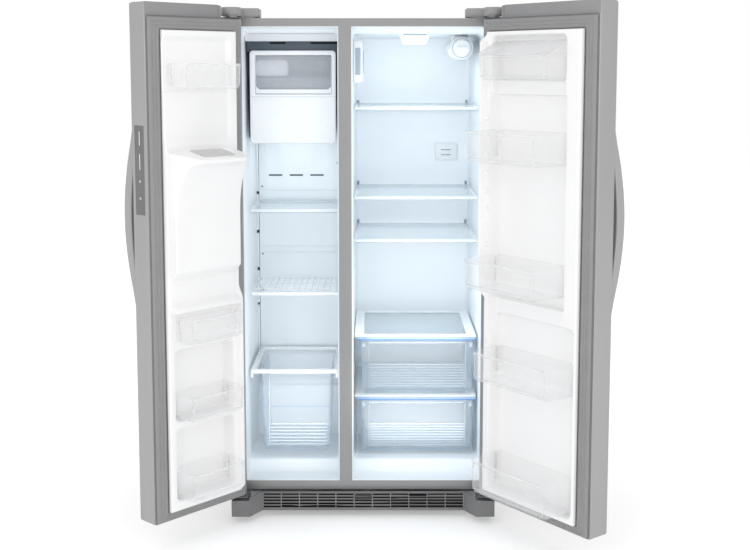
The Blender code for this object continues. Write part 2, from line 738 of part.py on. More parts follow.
# the housing seen from above as (u, y): its free side tapers to clear the mullion as the door swings
BULGE_PLAN = [(0.324, -0.030), (0.324, 0.040), (0.318, 0.055), (0.269, 0.130), (0.110, 0.130),
              (0.066, 0.090), (0.058, 0.050), (0.058, -0.030)]


def freezer_liner_piece():
    door = FREEZER
    pockets = [((0.060, 0.303), (1.360, 1.662)), ((0.057, 0.303), (0.430, 0.665)),
               ((0.057, 0.303), (0.165, 0.405))]
    bulge = door.side_outline("bulge", bulge_profile(), (0.040, 0.340))
    combine(bulge, door.plan_outline("bulge_plan", BULGE_PLAN, (0.70, 1.40)), "INTERSECT")
    body = door_liner(door, pockets, bulge)
    funnel = door.block("funnel_mouth", (0.105, 0.235), (0.022, 0.095), (1.25, 1.35))
    cut(body, funnel)


def dispenser_housing():
    """Alcove in the door's face with the ice duct rising behind it."""
    profile = [(DOOR_Y[0] + GAP, 0.935), (0.040, 0.935), (0.040, 1.200), (0.085, 1.262),
               (0.085, 1.278), (0.020, 1.278), (0.020, 1.240), (DOOR_Y[0] + GAP, 1.240)]
    shell = FREEZER.side_outline("dispenser_housing", profile, ALCOVE_U, DARK)
    drop_faces(shell.data, [(X, -1), (Y, 1)])
    add_wall(shell, 0.0025)


def dispenser_paddle():
    """Lever that is pushed back with a glass; it swings about its top edge."""
    profile = [(-0.006, 1.105), (0.001, 1.105), (0.001, 0.995), (-0.004, 0.985), (-0.010, 0.988),
               (-0.006, 0.998)]
    FREEZER.side_outline("dispenser_paddle", profile, (0.150, 0.220), DARK)


def control_strip(shell):
    """Key panel let into the free edge of the freezer door, with its two keys."""
    door = FREEZER
    edge = door.free
    opening = [(a - GAP, b + GAP) for a, b in (PANEL_Y, PANEL_Z)]
    cut(shell, door.block("panel_opening", (edge - 0.01, edge + 0.01), (opening[0][0], opening[0][1]),
                          (opening[1][0], opening[1][1])))
    panel = door.block("control_panel", (edge - 0.0040, edge - 0.0010), PANEL_Y, PANEL_Z, DARK)
    key_y = (PANEL_Y[0] + PANEL_Y[1]) / 2 - PIN_Y
    for index, z in enumerate(KEY_Z):
        hole = turned("key_hole", [(0, 0.01), (KEY_R + 0.0004, 0.01), (KEY_R + 0.0004, -0.01), (0, -0.01)],
                      (edge - 0.0025, key_y, z), None, door.pin, ALONG_X, 20)
        cut(panel, hole)
        profile = [(0, 0.0010), (KEY_R - 0.0006, 0.0010), (KEY_R, 0.0004), (KEY_R, -0.0030),
                   (0, -0.0030)]
        turned("panel_key_%d" % (index + 1), profile, (edge - 0.0012, key_y, z), GREY_PAINT, door.pin,
               ALONG_X, 20)


def dairy(door):
    """Covered dairy box: tray and a slanted cover hinged along its upper edge."""
    u_range = (0.062, 0.381)
    door.tray("dairy_bin", u_range, (-0.028, 0.090), (1.530, 1.606), CLEAR)
    cover = [(0.0910, 1.6085), (0.0935, 1.6100), (0.0030, 1.6560), (-0.0015, 1.6560), (-0.0015, 1.6520)]
    door.side_outline("dairy_cover", cover, u_range, CLEAR)


def door_bins():
    """Lift-off bins on both doors: name, door, u range, y range, z range."""
    rows = [
        ("freezer_door_bin_top", FREEZER, (0.066, 0.316), (RING_Y + GAP, 0.100), (1.502, 1.583)),
        ("freezer_door_bin_upper", FREEZER, (0.060, 0.300), (RING_Y + GAP, 0.087), (0.688, 0.772)),
        ("freezer_door_bin_middle", FREEZER, (0.060, 0.300), (POCKET_Y + 0.002, 0.087), (0.434, 0.517)),
        ("freezer_door_bin_bottom", FREEZER, (0.060, 0.300), (POCKET_Y + 0.002, 0.087), (0.169, 0.262)),
        ("fridge_door_bin_upper", FRIDGE, (0.049, 0.389), (POCKET_Y + 0.002, 0.140), (1.266, 1.367)),
        ("fridge_door_bin_middle", FRIDGE, (0.049, 0.389), (POCKET_Y + 0.002, 0.140), (0.850, 0.948)),
        ("fridge_door_bin_lower", FRIDGE, (0.062, 0.431), (POCKET_Y + 0.002, 0.115), (0.540, 0.640)),
        ("fridge_door_bin_bottom", FRIDGE, (0.062, 0.431), (POCKET_Y + 0.002, 0.115), (0.160, 0.272)),
    ]
    for name, door, u_range, y_range, z_range in rows:
        door.tray(name, u_range, y_range, z_range, CLEAR)


def fridge_liner_piece():
    pockets = [((0.058, 0.385), (1.525, 1.672)), ((0.046, 0.392), (0.800, 1.490)),
               ((0.058, 0.436), (0.150, 0.760))]
    door_liner(FRIDGE, pockets)


def build_cabinet():
    cabinet_wrapper()
    front_frame()
    liner("freezer_liner", FREEZER_X)
    liner("fridge_liner", FRIDGE_X)
    base_pan()
    toe_grille()
    machine_cover()
    compressor()
    for label, side in (("freezer", -1), ("fridge", 1)):
        top_hinge(label + "_top_hinge", side)
        hinge_cover(label + "_hinge_cover", side)
        bottom_hinge(label + "_bottom_hinge", side)
    for label, side in (("left", -1), ("right", 1)):
        leveling_foot("leveling_foot_" + label, side * 0.400)
        roller("rear_roller_" + label, side * 0.400)


def build_fridge_side():
    for label, top in SHELF_TOPS.items():
        shelf("glass_shelf_" + label, top, SHELF_X, SHELF_BACK)
    crisper_cover("crisper_cover", CRISPER_COVER_Z, SHELF_BACK)
    crisper_cover("lower_crisper_cover", LOWER_COVER_Z, SHELF_BACK)
    drawer("crisper_drawer_upper", (0.405, 0.592), 0.585)
    drawer("crisper_drawer_lower", (0.185, 0.371), 0.415)
    lamp_lens()
    filter_housing()
    filter_cartridge()


def build_freezer_side():
    evaporator_cover()
    evaporator()
    evaporator_fan()
    shelf("freezer_shelf", FREEZER_SHELF_TOP, FREEZER_SHELF_X, 0.462)
    wire_shelf()
    freezer_bin_frame()
    freezer_bin()
    ice_bin()
    ice_maker()


def build_doors():
    freezer_shell = door_shell(FREEZER)
    alcove = FREEZER.block("alcove_opening", (ALCOVE_U[0] - GAP, ALCOVE_U[1] + GAP), (-0.12, -0.08),
                           (0.935 - GAP, 1.240 + GAP))
    cut(freezer_shell, alcove)
    control_strip(freezer_shell)
    freezer_liner_piece()
    dispenser_housing()
    dispenser_paddle()
    door_shell(FRIDGE)
    fridge_liner_piece()
    dairy(FRIDGE)
    for door in (FREEZER, FRIDGE):
        gasket(door)
        handle(door)
    door_bins()


build_cabinet()
build_fridge_side()
build_freezer_side()
build_doors()
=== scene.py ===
import json
import math

import bmesh
import bpy
from mathutils import Matrix, Vector


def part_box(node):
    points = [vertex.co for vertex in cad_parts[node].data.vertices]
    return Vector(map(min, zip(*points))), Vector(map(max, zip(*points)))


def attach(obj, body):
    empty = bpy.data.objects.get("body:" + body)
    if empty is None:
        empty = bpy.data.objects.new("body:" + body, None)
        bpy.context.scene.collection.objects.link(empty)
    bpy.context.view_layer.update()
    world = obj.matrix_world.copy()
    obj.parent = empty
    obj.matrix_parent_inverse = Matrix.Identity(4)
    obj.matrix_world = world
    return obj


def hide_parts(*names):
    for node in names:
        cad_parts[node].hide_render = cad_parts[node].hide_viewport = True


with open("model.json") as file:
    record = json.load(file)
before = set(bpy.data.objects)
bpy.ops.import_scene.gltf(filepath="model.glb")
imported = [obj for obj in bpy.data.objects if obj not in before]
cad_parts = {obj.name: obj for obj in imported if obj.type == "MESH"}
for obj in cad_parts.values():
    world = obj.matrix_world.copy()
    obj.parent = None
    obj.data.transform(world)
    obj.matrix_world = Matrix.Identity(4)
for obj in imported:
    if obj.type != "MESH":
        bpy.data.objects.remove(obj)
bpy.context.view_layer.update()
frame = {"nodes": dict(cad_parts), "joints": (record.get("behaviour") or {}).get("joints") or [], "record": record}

NODES = frame["nodes"]
JOINTS = {joint["name"]: joint for joint in frame["joints"]}


# ------------------------------------------------------------------ places
class Place:
    """The frame that pieces are given in, and the body that they ride on."""

    def __init__(self, matrix, body):
        self.matrix = matrix
        self.body = body

    def on(self, body):
        return Place(self.matrix, body)

    def box(self, node):
        """A node's lowest and highest corner in this frame."""
        back = self.matrix.inverted()
        places = [back @ vertex.co for vertex in NODES[node].data.vertices]
        low = Vector([min(p[i] for p in places) for i in range(3)])
        high = Vector([max(p[i] for p in places) for i in range(3)])
        return low, high


FACE_LOW, FACE_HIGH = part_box("front_frame")
MIDDLE_X = (FACE_LOW.x + FACE_HIGH.x) / 2
FACE_Y = FACE_LOW.y
CABINET = Place(Matrix.Translation((MIDDLE_X, FACE_Y, 0.0)), "cabinet")


def closed_door(side, flip):
    """A door as it lies closed: u from its pin to its free edge, y and z as the cabinet."""
    joint = JOINTS[side + "_door_swing"]
    pin = Vector(joint["pos_m"])
    turn = math.radians(joint["range_deg"][0]) * joint["axis"][2]
    spin = Matrix.Translation((pin.x, pin.y, 0.0)) @ Matrix.Rotation(-turn, 4, "Z")
    shift = Matrix.Translation((0.0, FACE_Y - pin.y, 0.0))
    return Place(spin @ Matrix.Diagonal((flip, 1.0, 1.0, 1.0)) @ shift, side + "_door")


FREEZER = closed_door("freezer", 1.0)
FRIDGE = closed_door("fridge", -1.0)


# ------------------------------------------------------------------ materials
def noise(tree, scale, stretch, detail=3.0):
    place = tree.nodes.new("ShaderNodeTexCoord")
    mapping = tree.nodes.new("ShaderNodeMapping")
    mapping.inputs["Scale"].default_value = stretch
    made = tree.nodes.new("ShaderNodeTexNoise")
    made.inputs["Scale"].default_value = scale
    made.inputs["Detail"].default_value = detail
    tree.links.new(place.outputs["Object"], mapping.inputs["Vector"])
    tree.links.new(mapping.outputs["Vector"], made.inputs["Vector"])
    return made.outputs["Fac"]


def spread(tree, value, start, end, low=0.3, high=0.7):
    """A value between low and high, mapped to start and end."""
    ranged = tree.nodes.new("ShaderNodeMapRange")
    for name, number in (("From Min", low), ("From Max", high), ("To Min", start), ("To Max", end)):
        ranged.inputs[name].default_value = number
    tree.links.new(value, ranged.inputs["Value"])
    return ranged.outputs["Result"]


def surface(name, colour, rough, metal=0.0, tone=(8.0, 0.02), grain=(150.0, 0.04), relief=(600.0, 0.05),
            stretch=(1, 1, 1), see=None, rim=None, **sockets):
    """Principled material with procedural variation in colour, roughness and relief.

    see gives the opacity square on and at grazing angles, and rim the colour at grazing angles.
    """
    made = bpy.data.materials.new(name)
    made.use_nodes = True
    tree = made.node_tree
    shader = tree.nodes["Principled BSDF"]
    shader.inputs["Metallic"].default_value = metal
    for socket, value in sockets.items():
        shader.inputs[socket.replace("_", " ")].default_value = value
    mixed = tree.nodes.new("ShaderNodeMix")
    mixed.data_type = "RGBA"
    scale, amount = tone
    mixed.inputs["A"].default_value = (*[c * (1 - amount) for c in colour], 1.0)
    mixed.inputs["B"].default_value = (*[min(1.0, c * (1 + amount)) for c in colour], 1.0)
    tree.links.new(spread(tree, noise(tree, scale, stretch), 0.0, 1.0), mixed.inputs["Factor"])
    shade = mixed.outputs["Result"]
    scale, amount = grain
    value = spread(tree, noise(tree, scale, stretch), max(0.02, rough - amount), rough + amount)
    tree.links.new(value, shader.inputs["Roughness"])
    scale, strength = relief
    bump = tree.nodes.new("ShaderNodeBump")
    bump.inputs["Strength"].default_value = strength
    bump.inputs["Distance"].default_value = 0.0002
    tree.links.new(noise(tree, scale, stretch), bump.inputs["Height"])
    tree.links.new(bump.outputs["Normal"], shader.inputs["Normal"])
    if see:
        weight = tree.nodes.new("ShaderNodeLayerWeight")
        weight.inputs["Blend"].default_value = 0.35
        tree.links.new(spread(tree, weight.outputs["Facing"], *see, 0.0, 1.0), shader.inputs["Alpha"])
        if rim:
            edge = tree.nodes.new("ShaderNodeMix")
            edge.data_type = "RGBA"
            edge.inputs["B"].default_value = (*rim, 1.0)
            tree.links.new(shade, edge.inputs["A"])
            tree.links.new(weight.outputs["Facing"], edge.inputs["Factor"])
            shade = edge.outputs["Result"]
    tree.links.new(shade, shader.inputs["Base Color"])
    return made


STEEL = surface("brushed_stainless", (0.37, 0.37, 0.375), 0.38, 0.6, tone=(40.0, 0.012), grain=(60.0, 0.03),
                relief=(90.0, 0.05), stretch=(14, 14, 0.35), Anisotropic=0.4)
GREY = surface("grey_paint", (0.29, 0.29, 0.293), 0.45, 0.1, tone=(4.0, 0.03), relief=(900.0, 0.08),
               Coat_Weight=0.15, Coat_Roughness=0.3)
CAP = surface("cap_grey", (0.27, 0.27, 0.275), 0.55, 0.1, tone=(4.0, 0.03), relief=(900.0, 0.08))
KICK = surface("kick_plate_grey", (0.175, 0.175, 0.178), 0.5, 0.1, tone=(4.0, 0.03), relief=(900.0, 0.08))
SEAL = surface("gasket_grey", (0.26, 0.26, 0.263), 0.6, tone=(12.0, 0.04), relief=(800.0, 0.1))
CABIN = surface("cabin_white", (0.85, 0.9, 0.935), 0.34, tone=(6.0, 0.012), relief=(420.0, 0.04))
DOOR_WHITE = surface("door_liner_white", (0.875, 0.872, 0.872), 0.34, tone=(6.0, 0.01), relief=(420.0, 0.04))
FASCIA = surface("fascia_white", (0.7, 0.725, 0.75), 0.3, tone=(14.0, 0.01), relief=(700.0, 0.03))
# Painted shade: the white funnel is given grey for the shade inside it.
FUNNEL_SHADE = surface("funnel_painted_shade", (0.6, 0.6, 0.6), 0.4, tone=(6.0, 0.01), relief=(420.0, 0.04))
WHITE = surface("moulded_white", (0.82, 0.84, 0.86), 0.28, tone=(14.0, 0.01), relief=(700.0, 0.03))
# Pale blue-grey parts, and also the painted shade lines around the ice bin's ledge.
PALE = surface("pale_blue_grey", (0.36, 0.43, 0.5), 0.4, tone=(14.0, 0.03))
EDGE_BLUE = surface("drawer_edge_blue", (0.25, 0.36, 0.48), 0.3, tone=(14.0, 0.03))
BIN_CLEAR = surface("bin_clear", (0.93, 0.935, 0.94), 0.08, tone=(20.0, 0.01), relief=(25.0, 0.2),
                    see=(0.02, 0.36), rim=(0.7, 0.71, 0.72), IOR=1.49)
RIM_CLEAR = surface("bin_rim_clear", (0.93, 0.935, 0.94), 0.12, tone=(20.0, 0.01), relief=(40.0, 0.2),
                    see=(0.14, 0.62), rim=(0.6, 0.61, 0.63), IOR=1.49)
DRAWER_CLEAR = surface("drawer_clear", (0.84, 0.9, 0.95), 0.08, tone=(20.0, 0.01), relief=(25.0, 0.2),
                       see=(0.045, 0.6), rim=(0.36, 0.48, 0.6), IOR=1.49)
RIB_CLEAR = surface("rib_clear", (0.86, 0.92, 0.96), 0.12, tone=(30.0, 0.01), relief=(40.0, 0.2),
                    see=(0.25, 0.8), rim=(0.45, 0.56, 0.68), IOR=1.49)
GLASS = surface("shelf_glass", (0.84, 0.92, 0.95), 0.04, tone=(10.0, 0.01), relief=(12.0, 0.05),
                see=(0.06, 0.35), rim=(0.7, 0.84, 0.9), IOR=1.5)
TRIM = surface("shelf_trim", (0.9, 0.94, 0.97), 0.2, tone=(20.0, 0.01), see=(0.78, 0.95))
FROST = surface("frosted_border", (0.95, 0.975, 0.99), 0.45, tone=(40.0, 0.01), relief=(1500.0, 0.3),
                see=(0.93, 1.0))
BLUE = surface("rail_blue", (0.4, 0.54, 0.76), 0.2, tone=(8.0, 0.04), see=(0.85, 1.0))
DEEP_BLUE = surface("rail_deep_blue", (0.16, 0.32, 0.62), 0.2, tone=(8.0, 0.1), see=(0.85, 1.0))
DARK = surface("dark_plastic", (0.045, 0.047, 0.052), 0.42, tone=(10.0, 0.08), relief=(1200.0, 0.15))
STRIP = surface("control_strip_grey", (0.135, 0.135, 0.14), 0.35, tone=(10.0, 0.05), relief=(1200.0, 0.1))
# Dark slate: real dark plastic, and also painted shade on the panels around the ice maker.
SLATE_AND_SHADE = surface("slate_plastic_and_shade", (0.055, 0.075, 0.095), 0.45, tone=(10.0, 0.08), relief=(1200.0, 0.15))
HOOK = surface("hook_steel", (0.3, 0.37, 0.44), 0.4, 0.3, tone=(30.0, 0.08))
SMOKE = surface("smoked_pane", (0.43, 0.46, 0.5), 0.25, tone=(6.0, 0.03), see=(0.52, 0.75))
ZINC = surface("zinc_sheet", (0.5, 0.51, 0.53), 0.42, 0.85, tone=(70.0, 0.1), grain=(70.0, 0.1),
               relief=(500.0, 0.08))
RUBBER = surface("black_rubber", (0.03, 0.03, 0.032), 0.75, tone=(30.0, 0.15), relief=(900.0, 0.2))
# Near black: painted shade behind the grille slats and in the ice maker shroud's slots.
SHADE_BLACK = surface("black_painted_shade", (0.008, 0.008, 0.008), 0.8, tone=(30.0, 0.2), Specular_IOR_Level=0.1)
LAMP = surface("lamp_frost", (0.97, 0.98, 1.0), 0.35, relief=(500.0, 0.1),
               Emission_Color=(0.94, 0.97, 1.0, 1.0), Emission_Strength=0.25)
# Painted light: the ice maker case glows behind the smoked window, though it is no lamp.
GLOWING_CASE = surface("case_painted_glow", (0.97, 0.98, 1.0), 0.35, relief=(500.0, 0.1),
               Emission_Color=(0.97, 0.98, 1.0, 1.0), Emission_Strength=0.6)
GLOW = surface("light_bar", (0.9, 0.9, 0.9), 0.4, Emission_Color=(1.0, 1.0, 1.0, 1.0), Emission_Strength=0.05)

SLOTS = {
    "stainless": (STEEL,), "grey_paint": (GREY, CAP, KICK), "gasket_grey": (SEAL,), "lamp_lens": (LAMP,),
    "white_liner": (WHITE, CABIN, DOOR_WHITE, FASCIA, FUNNEL_SHADE, GLOWING_CASE), "dark_plastic": (DARK, STRIP, SLATE_AND_SHADE),
    "clear_plastic": (BIN_CLEAR, RIM_CLEAR, DRAWER_CLEAR, RIB_CLEAR, EDGE_BLUE, SMOKE),
    "shelf_glass": (GLASS, TRIM, FROST), "zinc_steel": (ZINC,), "rubber": (RUBBER,),
}
OWN_SLOT = {material: slot for slot, materials in SLOTS.items() for material in materials}


def dress_nodes():
    """Give every CAD node the first material of its slot."""
    for part in frame["record"]["subparts"]:
        node = NODES[part["node"]]
        node.data.materials.clear()
        node.data.materials.append(SLOTS[part["material_slot"]][0])
    NODES["control_panel"].data.materials[0] = STRIP
    for side in ("freezer", "fridge"):
        NODES[side + "_bottom_hinge"].data.materials[0] = KICK


# ------------------------------------------------------------------ mesh tools
def piece(name, shape, place, material, stands_for=(), slot="own", smooth=40):
    """Turn a bmesh given in a place's frame into a piece that rides on its body."""
    bmesh.ops.transform(shape, matrix=place.matrix, verts=shape.verts)
    bmesh.ops.recalc_face_normals(shape, faces=shape.faces)
    mesh = bpy.data.meshes.new(name)
    shape.to_mesh(mesh)
    shape.free()
    mesh.materials.append(material)
    mesh.shade_smooth()
    mesh.set_sharp_from_angle(angle=math.radians(smooth))
    made = bpy.data.objects.new(name, mesh)
    bpy.context.scene.collection.objects.link(made)
    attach(made, place.body)
    if slot == "own":
        slot = OWN_SLOT.get(material)
    if stands_for:
        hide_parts(*stands_for)
    return made


def refine(node, material, width=0.0012, segments=2, angle=32):
    """A copy of a CAD node with welded facets and rounded edges, standing for the node."""
    shape = bmesh.new()
    shape.from_mesh(NODES[node].data)
    bmesh.ops.remove_doubles(shape, verts=shape.verts, dist=0.00001)
    bmesh.ops.dissolve_limit(shape, angle_limit=math.radians(0.5), verts=shape.verts, edges=shape.edges)
    limit = math.radians(angle)
    edges = [e for e in shape.edges if len(e.link_faces) == 2 and e.calc_face_angle(0.0) > limit]
    bmesh.ops.bevel(shape, geom=edges, offset=width, segments=segments, profile=0.5, affect="EDGES",
                    clamp_overlap=True)
    body = next(b for b, nodes in frame["record"]["behaviour"]["bodies"].items() if node in nodes)
    return piece(node + "_finish", shape, Place(Matrix.Identity(4), body), material, (node,))


def rounded_loop(x0, x1, y0, y1, radius, steps=4):
    """A rounded rectangle as a list of (x, y), anticlockwise."""
    radius = max(0.0001, min(radius, (x1 - x0) / 2 - 1e-5, (y1 - y0) / 2 - 1e-5))
    points = []
    corners = ((x1 - radius, y0 + radius, -90), (x1 - radius, y1 - radius, 0),
               (x0 + radius, y1 - radius, 90), (x0 + radius, y0 + radius, 180))
    for cx, cy, start in corners:
        for i in range(steps + 1):
            angle = math.radians(start + 90 * i / steps)
            points.append((cx + radius * math.cos(angle), cy + radius * math.sin(angle)))
    return points


def loop_at(axis, level, x0, x1, y0, y1, radius, steps=5):
    """A rounded rectangle in space, square to an axis at the given level."""
    points = [list(point) for point in rounded_loop(x0, x1, y0, y1, radius, steps)]
    for point in points:
        point.insert(axis, level)
    return points


def add_loft(shape, loops, start_cap=True, end_cap=True, ring=False):
    """Skin a list of equal loops of points."""
    rows = [[shape.verts.new(point) for point in loop] for loop in loops]
    pairs = list(zip(rows, rows[1:]))
    if ring:
        pairs.append((rows[-1], rows[0]))
    for low, high in pairs:
        for i in range(len(low)):
            j = (i + 1) % len(low)
            shape.faces.new((low[i], low[j], high[j], high[i]))
    if start_cap and not ring:
        shape.faces.new(rows[0][::-1])
    if end_cap and not ring:
        shape.faces.new(rows[-1])
    return shape


def add_bar(shape, low, high, radius=0.001, axis=0, steps=2):
    """A bar with all its edges rounded, its long way along the given axis."""
    a, b = [i for i in range(3) if i != axis]
    radius = min(radius, *[(high[i] - low[i]) * 0.45 for i in range(3)])
    loops = []
    ends = [(low[axis] + radius * (1 - math.sin(t)), radius * (1 - math.cos(t)))
            for t in (math.pi / 2 * i / steps for i in range(steps + 1))]
    far = [(low[axis] + high[axis] - place, inset) for place, inset in ends]
    for place, inset in ends[::-1] + far:
        loops.append(loop_at(axis, place, low[a] + inset, high[a] - inset, low[b] + inset, high[b] - inset,
                             radius, steps))
    return add_loft(shape, loops)


def bar(name, low, high, place, material, radius=0.001, stands_for=(), slot="own"):
    """One rounded bar as a piece of its own."""
    return piece(name, add_bar(bmesh.new(), low, high, radius), place, material, stands_for, slot)


def add_turned(shape, profile, centre, axis=2, steps=24, ring=False):
    """A turned body or ring from a profile of (radius, height along the axis)."""
    a, b = [(1, 2), (2, 0), (0, 1)][axis]
    loops = []
    for radius, height in profile:
        loop = []
        for i in range(steps):
            angle = math.tau * i / steps
            point = [0.0, 0.0, 0.0]
            point[axis] = centre[axis] + height
            point[a] = centre[a] + radius * math.cos(angle)
            point[b] = centre[b] + radius * math.sin(angle)
            loop.append(point)
        loops.append(loop)
    return add_loft(shape, loops, ring=ring)


def add_tube(shape, path, radius, steps=8):
    """A round wire along a path of points."""
    path = [Vector(p) for p in path]
    loops = []
    side = None
    for i, point in enumerate(path):
        ahead = (path[min(i + 1, len(path) - 1)] - path[max(i - 1, 0)]).normalized()
        if side is None:
            side = ahead.orthogonal().normalized()
        side = (side - ahead * side.dot(ahead)).normalized()
        up = ahead.cross(side)
        loops.append([point + (side * math.cos(t) + up * math.sin(t)) * radius
                      for t in (math.tau * k / steps for k in range(steps))])
    return add_loft(shape, loops)


def add_plate(shape, points, axis, start, end, radius=0.001):
    """A flat outline, thick along one axis, with rounded rims."""
    centre = [sum(p[i] for p in points) / len(points) for i in (0, 1)]
    loops = []
    for place, inset in ((start, radius), (start + radius * 0.3, radius * 0.3), (start + radius, 0.0),
                         (end - radius, 0.0), (end - radius * 0.3, radius * 0.3), (end, radius)):
        loop = []
        for pa, pb in points:
            shift = Vector((pa - centre[0], pb - centre[1])).normalized() * inset
            point = [pa - shift.x, pb - shift.y]
            point.insert(axis, place)
            loop.append(point)
        loops.append(loop)
    return add_loft(shape, loops)


def tub_shape(low, high, radius, draft=0.006, wall=0.0025, lip=0.003, floor=0.008):
    """An open tub: a rounded floor, leaning walls and a turned-over lip."""
    inner = draft + wall
    profile = [(draft + floor, low.z), (draft + floor * 0.3, low.z + floor * 0.3), (draft, low.z + floor),
               (lip, high.z - 0.005), (0.0006, high.z - 0.0045), (0.0, high.z - 0.0035),
               (0.0, high.z - 0.0008), (0.0008, high.z), (lip + wall - 0.0008, high.z),
               (lip + wall, high.z - 0.0008), (lip + wall, high.z - 0.005), (inner, low.z + floor),
               (inner + floor * 0.3, low.z + wall + floor * 0.3), (inner + floor, low.z + wall)]
    return add_loft(bmesh.new(), [loop_at(2, z, low.x + inset, high.x - inset, low.y + inset, high.y - inset,
                                    radius - inset * 0.5) for inset, z in profile])


def screws(name, centres, place, material=ZINC, axis=1, out=-1, radius=0.0045):
    """Pan-head screws in one piece, standing out along an axis."""
    shape = bmesh.new()
    for centre in centres:
        profile = [(radius, 0.0), (radius, 0.001 * out), (radius * 0.75, 0.002 * out),
                   (radius * 0.42, 0.0024 * out), (radius * 0.36, 0.0016 * out), (radius * 0.1, 0.0014 * out)]
        add_turned(shape, profile, centre, axis, 16)
    return piece(name, shape, place, material, slot=None)


def ramp(value, start, end):
    """0 before start, 1 after end, with a soft rise between."""
    t = max(0.0, min(1.0, (value - start) / (end - start)))
    return t * t * (3 - 2 * t)


def stations(low, high, edges, fine, coarse, reach=0.016, exact=()):
    """Places from low to high, close together near the given edges."""
    found = [low]
    while found[-1] < high - fine * 0.6:
        here = found[-1]
        near = any(abs(here + fine * 0.5 - edge) < reach for edge in edges)
        ahead = [edge - reach for edge in edges if edge - reach > here + 1e-6]
        step = fine if near else min([coarse] + [max(fine, a - here) for a in ahead])
        found.append(min(high, here + step))
    found[-1] = high
    for place in exact:
        nearest = min(range(len(found)), key=lambda i: abs(found[i] - place))
        found[nearest] = place
    return found


def pocket(u, z, rect, corner, slope):
    """How far a point lies inside a rounded rectangle, from 0 at its edge to 1 past its slope."""
    (u0, u1), (z0, z1) = rect
    du = max(u0 + corner - u, u - (u1 - corner))
    dz = max(z0 + corner - z, z - (z1 - corner))
    outside = math.hypot(max(du, 0.0), max(dz, 0.0)) + min(max(du, dz), 0.0) - corner
    return ramp(-outside, 0.0, slope)


def soft_min(a, b, blend):
    h = max(0.0, 1.0 - abs(a - b) / blend)
    return min(a, b) - h * h * blend / 4


# ------------------------------------------------------------------ compartments
CEILING_DROP = 0.0187
FLOOR_STEP = 0.034
HUMP_TOP = 0.343


def compartment(node):
    """Thermoformed liner with round corners, a raised floor, a hump and a dropped ceiling."""
    low, high = CABINET.box(node)
    wall = 0.003
    back = high.y - wall
    ys = [0.0, 0.0015, 0.004, 0.008, 0.012, 0.016, 0.022]
    ys += [0.035 + 0.0062 * i for i in range(1, 17)]
    ys += [0.16, 0.25, 0.34, 0.405] + [0.405 + 0.008 * i for i in range(1, 10)] + [0.52, 0.58, 0.62]
    round_corner = 0.016
    loops = []
    for y in ys:
        corner = 0.003 + (round_corner - 0.003) * ramp(y, 0.004, 0.032)
        lip = 0.0022 * (1 - ramp(y, 0.0, 0.004))
        floor = low.z + wall + FLOOR_STEP * ramp(y, 0.08, 0.125)
        floor += (HUMP_TOP - FLOOR_STEP - low.z) * ramp(y, 0.41, 0.477)
        roof = high.z - wall - CEILING_DROP * ramp(y, 0.038, 0.088)
        inset = wall - lip
        loops.append(loop_at(1, low.y + y, low.x + inset, high.x - inset, floor - lip, roof + lip, corner))
    corner = round_corner
    for i in range(1, 6):
        t = math.pi / 2 * i / 5
        inset = wall + corner * (1 - math.cos(t))
        y = back - corner * (1 - math.sin(t))
        loops.append(loop_at(1, y, low.x + inset, high.x - inset, HUMP_TOP + inset,
                             high.z - CEILING_DROP - inset, corner))
    shape = add_loft(bmesh.new(), loops, start_cap=False)
    made = piece(node + "_skin", shape, CABINET, CABIN, (node,))
    thick = made.modifiers.new("thickness", "SOLIDIFY")
    thick.thickness = wall - 0.0004
    thick.offset = -1.0 if inward(made) else 1.0
    return made


def inward(item):
    """Whether the skin's first face looks into the compartment, across the object's middle."""
    face = item.data.polygons[len(item.data.polygons) // 2]
    middle = sum((v.co for v in item.data.vertices), Vector()) / len(item.data.vertices)
    return face.normal.dot(middle - face.center) > 0


def face_trim():
    """Grey face frame, and the beads, screws and water inlet on the cabinet's back."""
    refine("front_frame", GREY, 0.001)
    low, high = CABINET.box("cabinet_wrapper")
    shape = bmesh.new()
    y = high.y
    for z in (0.42, 1.66):
        add_bar(shape, (low.x + 0.05, y - 0.002, z), (high.x - 0.05, y + 0.0018, z + 0.012), 0.0018)
    for x in (low.x + 0.05, high.x - 0.062):
        add_bar(shape, (x, y - 0.002, 0.44), (x + 0.012, y + 0.0018, 1.65), 0.0018, 2)
    for x in (-0.22, 0.0, 0.22):
        add_bar(shape, (x - 0.006, y - 0.002, 0.52), (x + 0.006, y + 0.0018, 1.57), 0.0018, 2)
    piece("rear_panel_beads", shape, CABINET, GREY)
    places = [(x, y + 0.0001, z) for x in (low.x + 0.025, high.x - 0.025) for z in (0.4, 0.8, 1.2, 1.6)]
    places += [(x, y + 0.0001, high.z - 0.025) for x in (-0.3, 0.0, 0.3)]
    screws("rear_panel_screws", places, CABINET, out=1)
    cover_low, cover_high = CABINET.box("machine_cover")
    places = [(x, cover_high.y, z) for x in (cover_low.x + 0.015, 0.0, cover_high.x - 0.015)
              for z in (cover_low.z + 0.015, cover_high.z - 0.015)]
    screws("machine_cover_screws", places, CABINET, out=1)
    shape = bmesh.new()
    add_bar(shape, (0.3, cover_high.y + 0.0002, 0.262), (0.36, cover_high.y + 0.004, 0.312), 0.0015, 2)
    profile = [(0.012, 0.0), (0.012, 0.008), (0.0095, 0.009), (0.0095, 0.0135), (0.006, 0.0145)]
    add_turned(shape, profile, (0.33, cover_high.y + 0.003, 0.287), 1, 20)
    piece("water_inlet", shape, CABINET, DARK)


